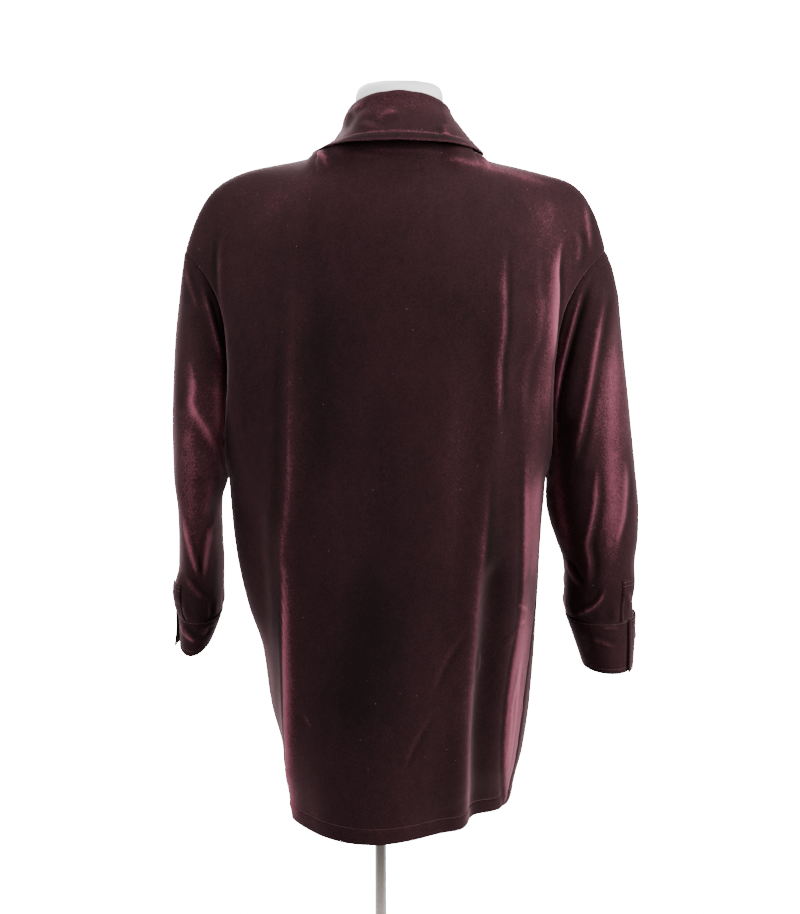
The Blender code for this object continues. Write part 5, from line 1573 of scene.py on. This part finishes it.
def build_buttons(button):
    r = BUTTON_R
    t = BUTTON_THICK
    profile = [(0.0, 0.0), (0.62 * r, 0.0), (0.90 * r, 0.10 * t), (0.985 * r, 0.34 * t),
               (r, 0.52 * t), (0.99 * r, 0.76 * t), (0.95 * r, 0.93 * t), (0.88 * r, t),
               (0.80 * r, 0.99 * t), (0.72 * r, 0.90 * t), (0.64 * r, 0.76 * t),
               (0.54 * r, 0.68 * t), (0.30 * r, 0.66 * t), (0.0, 0.655 * t)]
    disc = turned("button blank", profile, 40, "dark horn")
    holes = bmesh.new()
    crosses = bmesh.new()
    for x in (-1, 1):
        for y in (-1, 1):
            spot = Vector((x * THREAD_HOLE_AT, y * THREAD_HOLE_AT, t * 0.4))
            made = bmesh.ops.create_cone(holes, cap_ends=True, segments=14, radius1=button.hole,
                                         radius2=button.hole, depth=3 * t)
            bmesh.ops.translate(holes, verts=made["verts"], vec=spot)
    # four strands through the holes, two each way
    for across in (Vector((1.0, 1.0, 0.0)), Vector((1.0, -1.0, 0.0))):
        for shift in (-STRAND_APART, STRAND_APART):
            strand_rings(crosses, across, shift)
    parts = {}
    for key, bm in (("holes", holes), ("crosses", crosses)):
        bmesh.ops.recalc_face_normals(bm, faces=bm.faces)
        mesh = bpy.data.meshes.new("button " + key)
        bm.to_mesh(mesh)
        bm.free()
        parts[key] = placed("button " + key, mesh)
    cut = disc.modifiers.new("holes", "BOOLEAN")
    cut.operation = "DIFFERENCE"
    cut.solver = "EXACT"
    cut.object = parts["holes"]
    seen = disc.evaluated_get(bpy.context.evaluated_depsgraph_get())
    drilled = bpy.data.meshes.new_from_object(seen)
    disc.modifiers.remove(cut)
    disc.data = drilled
    tree, names = button_tree()
    runs = [(np.array([spot]), np.array([turn])) for spot, turn in SPOTS]
    body_of = laid_out("buttons", runs, tree, names, {
        "Part": disc, "Finish": bpy.data.materials["dark horn"]})
    thread = laid_out("button_thread", runs, tree, names, {
        "Part": parts["crosses"], "Finish": bpy.data.materials["burgundy thread"]})
    for thing in (disc, parts["holes"], parts["crosses"]):
        bpy.data.objects.remove(thing)
    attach(body_of, "root")
    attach(thread, "root")
    nodes = ["front_button_%d" % (i + 1) for i in range(BUTTON_COUNT)]
    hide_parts(*nodes, "cuff_button_left", "cuff_button_right")


def build_form():
    """Limbless torso with a domed neck, closed underneath."""
    heights = column(FORM_FIELDS, FORM_ROWS, "height")
    fine = [np.linspace(a, b, 9) for a, b in zip(heights, heights[1:])]
    fine = np.unique(np.concatenate(fine))
    size = {name: curve(heights, column(FORM_FIELDS, FORM_ROWS, name), fine)
            for name in FORM_FIELDS}
    angle = np.linspace(0, 2 * math.pi, 120, endpoint=False)
    rings = []
    for i, z in enumerate(fine):
        deep = np.where(np.sin(angle) > 0, size["back"][i], size["front"][i])
        power = size["power"][i]
        rings.append(np.stack([size["half"][i] * rounded(np.cos(angle), power),
                               deep * rounded(np.sin(angle), power), z + 0 * angle], axis=-1))
    # flat rings that close the underside and the top of the neck
    under = [rings[0] * np.array([f, f, 1.0]) for f in (0.75, 0.95)]
    over = [rings[-1] * np.array([f, f, 1.0]) for f in (0.66, 0.33)]
    rings = under + rings + over
    grid = lean(np.array(rings))
    n = len(angle)
    verts = grid.reshape(-1, 3).tolist()
    faces = []
    for ring in range(len(rings) - 1):
        for i in range(n):
            j = (i + 1) % n
            faces.append((ring * n + i, ring * n + j, (ring + 1) * n + j, (ring + 1) * n + i))
    for ring in (0, len(rings) - 1):
        middle = len(verts)
        verts.append(grid[ring].mean(axis=0).tolist())
        faces += [(ring * n + i, ring * n + (i + 1) % n, middle) for i in range(n)]
    mesh = bpy.data.meshes.new("form_shell")
    mesh.from_pydata(verts, [], faces)
    mesh.materials.append(bpy.data.materials["form shell"])
    shaded(mesh)
    thing = placed("form_shell", mesh)
    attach(thing, "root")
    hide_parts("form")


def build_stand():
    gap = 0.0003
    top = FORM_BOTTOM_Z - gap
    low = top - FORM_SOCKET_H
    holder = [(0.0, low)] + round_edge(FORM_SOCKET_R, low, 0.0035, False)
    holder += round_edge(FORM_SOCKET_R, top, 0.0006, True) + [(0.0, top)]
    foot = BASE_SOCKET_Z + gap
    head = low - gap
    tube = [(0.0, foot)] + [(POLE_R, z) for z in np.linspace(foot, head, 26)] + [(0.0, head)]
    mouth = POLE_R + 0.003
    cup = [(0.0, BASE_THICK + gap), (BASE_SOCKET_R - 0.0006, BASE_THICK + gap),
           (BASE_SOCKET_R, BASE_THICK + 0.0009), (BASE_SOCKET_R, BASE_SOCKET_Z - 0.0085)]
    for a in np.linspace(0.1, 1.45, 9):
        cup.append((mouth + (BASE_SOCKET_R - mouth) * math.cos(a) ** 0.8,
                    BASE_SOCKET_Z - 0.008 + 0.008 * math.sin(a)))
    cup += [(mouth, BASE_SOCKET_Z), (0.0, BASE_SOCKET_Z)]
    plate = [(0.0, 0.0)] + round_edge(BASE_R, 0.0, 0.0012, False)
    plate += round_edge(BASE_R, BASE_THICK, 0.0022, True)
    plate += [(r, BASE_THICK) for r in np.linspace(BASE_R - 0.006, 0.03, 9)]
    plate += [(0.0, BASE_THICK)]
    for key, finish_name, profile in (
            ("form_socket", "chromed tube", holder), ("pole", "chromed tube", tube),
            ("base_socket", "chromed tube", cup), ("base_plate", "spun steel", plate)):
        thing = turned("stand_" + key, profile, 96, finish_name)
        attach(thing, "root")
        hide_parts(key)


# stage: each soft box with its place, the spot it is aimed at, its width and height,
# the setting that holds its power, and its colour
SOFT_BOXES = (
    ("key box", (-2.3, 1.0, 2.25), (0.0, 0.0, 1.1), 1.3, 1.9, "key", (1.0, 0.985, 0.97)),
    ("fill box", (2.3, 0.9, 2.1), (0.0, 0.0, 1.1), 1.2, 1.8, "fill", (1.0, 0.99, 0.98)),
    ("front box", (0.9, -2.3, 2.3), (0.0, 0.0, 1.05), 1.6, 1.6, "front", (1.0, 1.0, 1.0)),
    ("top box", (0.0, 0.3, 3.1), (0.0, 0.0, 1.2), 1.6, 1.6, "top", (1.0, 1.0, 1.0)),
)
FLOOR_DROP = 0.0005
# the photo's camera: focal length in pixels of a picture 914 high, on a 36 mm sensor
FOCAL_PIXELS = 1640.0
PICTURE_PIXELS = 914.0
SENSOR_MM = 36.0
CAMERA_AT = (-0.0254, 2.0, 1.50)
CAMERA_TILT = math.radians(78.0)


def soft_box(name, place, spot, wide, tall, power, colour):
    lamp = bpy.data.lights.new(name, "AREA")
    lamp.shape = "RECTANGLE"
    lamp.size = wide
    lamp.size_y = tall
    lamp.energy = power
    lamp.color = colour
    thing = bpy.data.objects.new(name, lamp)
    thing.location = place
    bpy.context.scene.collection.objects.link(thing)
    way = Vector(spot) - thing.location
    thing.rotation_euler = way.to_track_quat("-Z", "Y").to_euler()
    thing.visible_camera = False


def lay_floor(stage):
    """Pale floor that fades out into the white room."""
    tree, shader, place = finish("studio floor", {"Roughness": 0.7, "Specular IOR Level": 0.25})
    grain = grained(tree, place, Scale=60.0, Spots=3.0)
    fade = between(tree, from_middle(tree, place)[0], 1.0, 0.0, 0.15, 1.25,
                   interpolation_type="SMOOTHSTEP")
    wired(tree, shader, Base_Color=worn(tree, grain["Mask"], stage.floor, 0.97),
          Normal=bumped(tree, grain["Height"], 0.05, 0.001), Alpha=fade)
    profile = [(0.0, 0.0)] + [(0.3 * i, 0.0) for i in range(1, 11)]
    floor = turned("studio_floor", profile, 96, "studio floor")
    for vertex in floor.data.vertices:
        vertex.co.z = -FLOOR_DROP
    if floor.data.polygons[0].normal.z < 0:
        floor.data.flip_normals()


def light_room(stage):
    """White room: bright to the camera, softer on the jacket and darker at its back."""
    world = bpy.data.worlds.new("white studio")
    world.use_nodes = True
    tree = world.node_tree
    tree.nodes.clear()
    seen = first(tree, "ShaderNodeBackground", {
        "Color": (1.0, 1.0, 1.0, 1.0), "Strength": stage.white})
    way = node(tree, "ShaderNodeTexCoord").outputs["Generated"]
    across = node(tree, "ShaderNodeSeparateXYZ", {0: way}).outputs["Y"]
    wall = between(tree, across, 0.35 * stage.glow, 1.6 * stage.glow, 0.55, -0.5,
                   interpolation_type="SMOOTHSTEP")
    glow = first(tree, "ShaderNodeBackground", {
        "Color": (1.0, 0.995, 0.99, 1.0), "Strength": wall})
    eye = node(tree, "ShaderNodeLightPath").outputs["Is Camera Ray"]
    both = first(tree, "ShaderNodeMixShader", {0: eye, 1: glow, 2: seen})
    out = node(tree, "ShaderNodeOutputWorld")
    tree.links.new(both, out.inputs["Surface"])
    bpy.context.scene.world = world


def build_stage(stage):
    lay_floor(stage)
    for name, place, spot, wide, tall, power, colour in SOFT_BOXES:
        soft_box(name, place, spot, wide, tall, getattr(stage, power), colour)
    light_room(stage)
    view = bpy.data.cameras.new("photo camera")
    view.lens = FOCAL_PIXELS * SENSOR_MM / PICTURE_PIXELS
    view.sensor_width = SENSOR_MM
    eye = bpy.data.objects.new("photo camera", view)
    eye.location = CAMERA_AT
    eye.rotation_euler = (CAMERA_TILT, 0.0, math.pi)
    bpy.context.scene.collection.objects.link(eye)
    bpy.context.scene.camera = eye


# sizes and colours to change in the sidebar

class ClothLook(bpy.types.PropertyGroup):
    wall: FloatProperty(name="Wall", description="Thickness of one layer of velvet",
                        default=0.0018, subtype="DISTANCE", unit="LENGTH", precision=4)
    hem_wall: FloatProperty(name="Hem wall", description="Thickness where the hem is turned up",
                            default=0.0030, subtype="DISTANCE", unit="LENGTH", precision=4)
    swell: FloatProperty(name="Swell", description="Depth of the slow waves of the hanging cloth",
                         default=0.0011, subtype="DISTANCE", unit="LENGTH", precision=4)
    creases: FloatProperty(name="Creases", description="How strongly the small creases stand out",
                           default=1.0, subtype="FACTOR")
    pucker: FloatProperty(name="Pucker", description="Height of the gathers along a seam",
                          default=0.0006, subtype="DISTANCE", unit="LENGTH", precision=4)
    seam_dip: FloatProperty(name="Seam dip", description="How far the cloth sinks along a seam",
                            default=0.0011, subtype="DISTANCE", unit="LENGTH", precision=4)
    stitch_dip: FloatProperty(name="Stitch dip", description="How far a stitched line sinks",
                              default=0.0005, subtype="DISTANCE", unit="LENGTH", precision=4)
    tab: FloatProperty(name="Cuff tab", description="How far the cuff's buttoned end stands off",
                       default=0.0042, subtype="DISTANCE", unit="LENGTH", precision=4)
    sheen: FloatProperty(name="Sheen", description="Light that the pile throws back at its edges",
                         default=0.55, subtype="FACTOR")
    # deep: the darkest pile, and also the colour of the painted shade in the creases
    deep: FloatVectorProperty(name="Deep", description="Colour of the pile seen from above",
                              default=(0.0086, 0.0034, 0.0043), subtype="COLOR")
    middle: FloatVectorProperty(name="Middle", description="Colour of the pile as it lies",
                                default=(0.0270, 0.0087, 0.0120), subtype="COLOR")
    # light: the colour of the painted highlight on the creases' ridges
    light: FloatVectorProperty(name="Light", description="Colour of the pile brushed up",
                               default=(0.230, 0.064, 0.098), subtype="COLOR")


class StitchLook(bpy.types.PropertyGroup):
    pitch: FloatProperty(name="Pitch", description="Distance from one stitch to the next",
                         default=0.0036, subtype="DISTANCE", unit="LENGTH", precision=4)
    length: FloatProperty(name="Length", description="Length of thread that shows",
                          default=0.0027, subtype="DISTANCE", unit="LENGTH", precision=4)
    radius: FloatProperty(name="Radius", description="Half the thread's thickness",
                          default=0.00024, subtype="DISTANCE", unit="LENGTH", precision=5)
    colour: FloatVectorProperty(name="Colour", description="Colour of the thread",
                                default=(0.085, 0.024, 0.034), subtype="COLOR")


class ButtonLook(bpy.types.PropertyGroup):
    hole: FloatProperty(name="Hole", description="Half the width of a thread hole",
                        default=0.0006, subtype="DISTANCE", unit="LENGTH", precision=4)
    colour: FloatVectorProperty(name="Colour", description="Colour of the horn",
                                default=(0.018, 0.007, 0.006), subtype="COLOR")


class StandLook(bpy.types.PropertyGroup):
    shell: FloatVectorProperty(name="Shell", description="Colour of the form's shell",
                               default=(0.78, 0.78, 0.79), subtype="COLOR")
    steel: FloatVectorProperty(name="Steel", description="Colour of the foot plate",
                               default=(0.56, 0.55, 0.54), subtype="COLOR")


class StageLook(bpy.types.PropertyGroup):
    key: FloatProperty(name="Key light", description="Power of the soft box on the jacket's right",
                       default=200.0, unit="POWER")
    fill: FloatProperty(name="Fill light", description="Power of the soft box on the jacket's left",
                        default=95.0, unit="POWER")
    front: FloatProperty(name="Front light", description="Power of the soft box before the jacket",
                         default=70.0, unit="POWER")
    top: FloatProperty(name="Top light", description="Power of the soft box overhead",
                       default=30.0, unit="POWER")
    glow: FloatProperty(name="Room glow", description="Light that the white room throws back",
                        default=0.45, subtype="FACTOR")
    white: FloatProperty(name="White", description="Brightness of the room as the camera sees it",
                         default=30.0)
    floor: FloatVectorProperty(name="Floor", description="Colour of the floor",
                               default=(0.80, 0.80, 0.80), subtype="COLOR")


class JacketLook(bpy.types.PropertyGroup):
    cloth: PointerProperty(type=ClothLook, name="Cloth", description="Walls, relief and colours")
    stitch: PointerProperty(type=StitchLook, name="Stitching", description="Sizes of the thread")
    button: PointerProperty(type=ButtonLook, name="Buttons", description="Holes and colour")
    stand: PointerProperty(type=StandLook, name="Stand", description="Colours of form and foot")
    stage: PointerProperty(type=StageLook, name="Stage", description="Lights and floor")


# operators

class JACKET_OT_finishes(bpy.types.Operator):
    """Mix the velvet, thread, horn, shell and steel finishes"""
    bl_idname = "jacket.finishes"
    bl_label = "Finishes"

    def execute(self, context):
        look = context.scene.jacket_look
        mix_velvet(look.cloth)
        mix_small(look.stitch, look.button, look.stand)
        return {"FINISHED"}


class JACKET_OT_back(bpy.types.Operator):
    """Build the back panel with its folds and hem"""
    bl_idname = "jacket.back"
    bl_label = "Back"

    def execute(self, context):
        build_back(context.scene.jacket_look.cloth)
        return {"FINISHED"}


class JACKET_OT_fronts(bpy.types.Operator):
    """Build both front panels and the button band"""
    bl_idname = "jacket.fronts"
    bl_label = "Fronts and button band"

    def execute(self, context):
        build_fronts(context.scene.jacket_look.cloth)
        return {"FINISHED"}


class JACKET_OT_sleeves(bpy.types.Operator):
    """Build both sleeves and their plackets"""
    bl_idname = "jacket.sleeves"
    bl_label = "Sleeves and plackets"

    def execute(self, context):
        cloth = context.scene.jacket_look.cloth
        build_sleeve(1, "left", LEFT_SLEEVE_FOLDS, SLEEVE_LEFT_CREASES, cloth)
        build_sleeve(-1, "right", RIGHT_SLEEVE_FOLDS, SLEEVE_RIGHT_CREASES, cloth)
        return {"FINISHED"}


class JACKET_OT_cuffs(bpy.types.Operator):
    """Build both buttoned cuffs"""
    bl_idname = "jacket.cuffs"
    bl_label = "Cuffs"

    def execute(self, context):
        cloth = context.scene.jacket_look.cloth
        build_cuff(1, "left", CUFF_LEFT_ROWS, CUFF_LEFT_END, CUFF_LEFT_CREASES, cloth)
        build_cuff(-1, "right", CUFF_RIGHT_ROWS, CUFF_RIGHT_END, CUFF_RIGHT_CREASES, cloth)
        return {"FINISHED"}


class JACKET_OT_collar(bpy.types.Operator):
    """Build the collar stand and the turned-down leaf"""
    bl_idname = "jacket.collar"
    bl_label = "Collar"

    def execute(self, context):
        build_collar(context.scene.jacket_look.cloth)
        return {"FINISHED"}


class JACKET_OT_stitching(bpy.types.Operator):
    """Lay the topstitching and buttonholes; the cloth is built first"""
    bl_idname = "jacket.stitching"
    bl_label = "Stitching"

    def execute(self, context):
        build_stitching(context.scene.jacket_look.stitch)
        return {"FINISHED"}


class JACKET_OT_buttons(bpy.types.Operator):
    """Sew on the front and cuff buttons; the cloth is built first"""
    bl_idname = "jacket.buttons"
    bl_label = "Buttons"

    def execute(self, context):
        build_buttons(context.scene.jacket_look.button)
        return {"FINISHED"}


class JACKET_OT_form(bpy.types.Operator):
    """Build the limbless dress form"""
    bl_idname = "jacket.form"
    bl_label = "Dress form"

    def execute(self, context):
        build_form()
        return {"FINISHED"}


class JACKET_OT_stand(bpy.types.Operator):
    """Build the sockets, the pole and the foot plate"""
    bl_idname = "jacket.stand"
    bl_label = "Stand"

    def execute(self, context):
        build_stand()
        return {"FINISHED"}


class JACKET_OT_stage(bpy.types.Operator):
    """Set the floor, the soft boxes, the white room and the camera"""
    bl_idname = "jacket.stage"
    bl_label = "Stage"

    def execute(self, context):
        build_stage(context.scene.jacket_look.stage)
        return {"FINISHED"}


STEPS = (JACKET_OT_finishes, JACKET_OT_back, JACKET_OT_fronts, JACKET_OT_sleeves, JACKET_OT_cuffs,
         JACKET_OT_collar, JACKET_OT_stitching, JACKET_OT_buttons, JACKET_OT_form, JACKET_OT_stand,
         JACKET_OT_stage)


class JACKET_PT_panel(bpy.types.Panel):
    """The steps in their order, then every size and colour"""
    bl_idname = "JACKET_PT_panel"
    bl_label = "Velvet jacket"
    bl_space_type = "VIEW_3D"
    bl_region_type = "UI"
    bl_category = "Jacket"

    def draw(self, context):
        for step in STEPS:
            self.layout.operator(step.bl_idname)
        look = context.scene.jacket_look
        for part in (look.cloth, look.stitch, look.button, look.stand, look.stage):
            box = self.layout.box()
            for key in part.__annotations__:
                box.prop(part, key)


LOOKS = (ClothLook, StitchLook, ButtonLook, StandLook, StageLook, JacketLook)
CLASSES = LOOKS + STEPS + (JACKET_PT_panel,)


def register():
    for kind in CLASSES:
        bpy.utils.register_class(kind)
    bpy.types.Scene.jacket_look = PointerProperty(type=JacketLook)


def unregister():
    del bpy.types.Scene.jacket_look
    for kind in reversed(CLASSES):
        bpy.utils.unregister_class(kind)


def main():
    register()
    make = bpy.ops.jacket
    for step in (make.finishes, make.back, make.fronts, make.sleeves, make.cuffs, make.collar,
                 make.stitching, make.buttons, make.form, make.stand, make.stage):
        step()


if __name__ == "__main__":
    main()
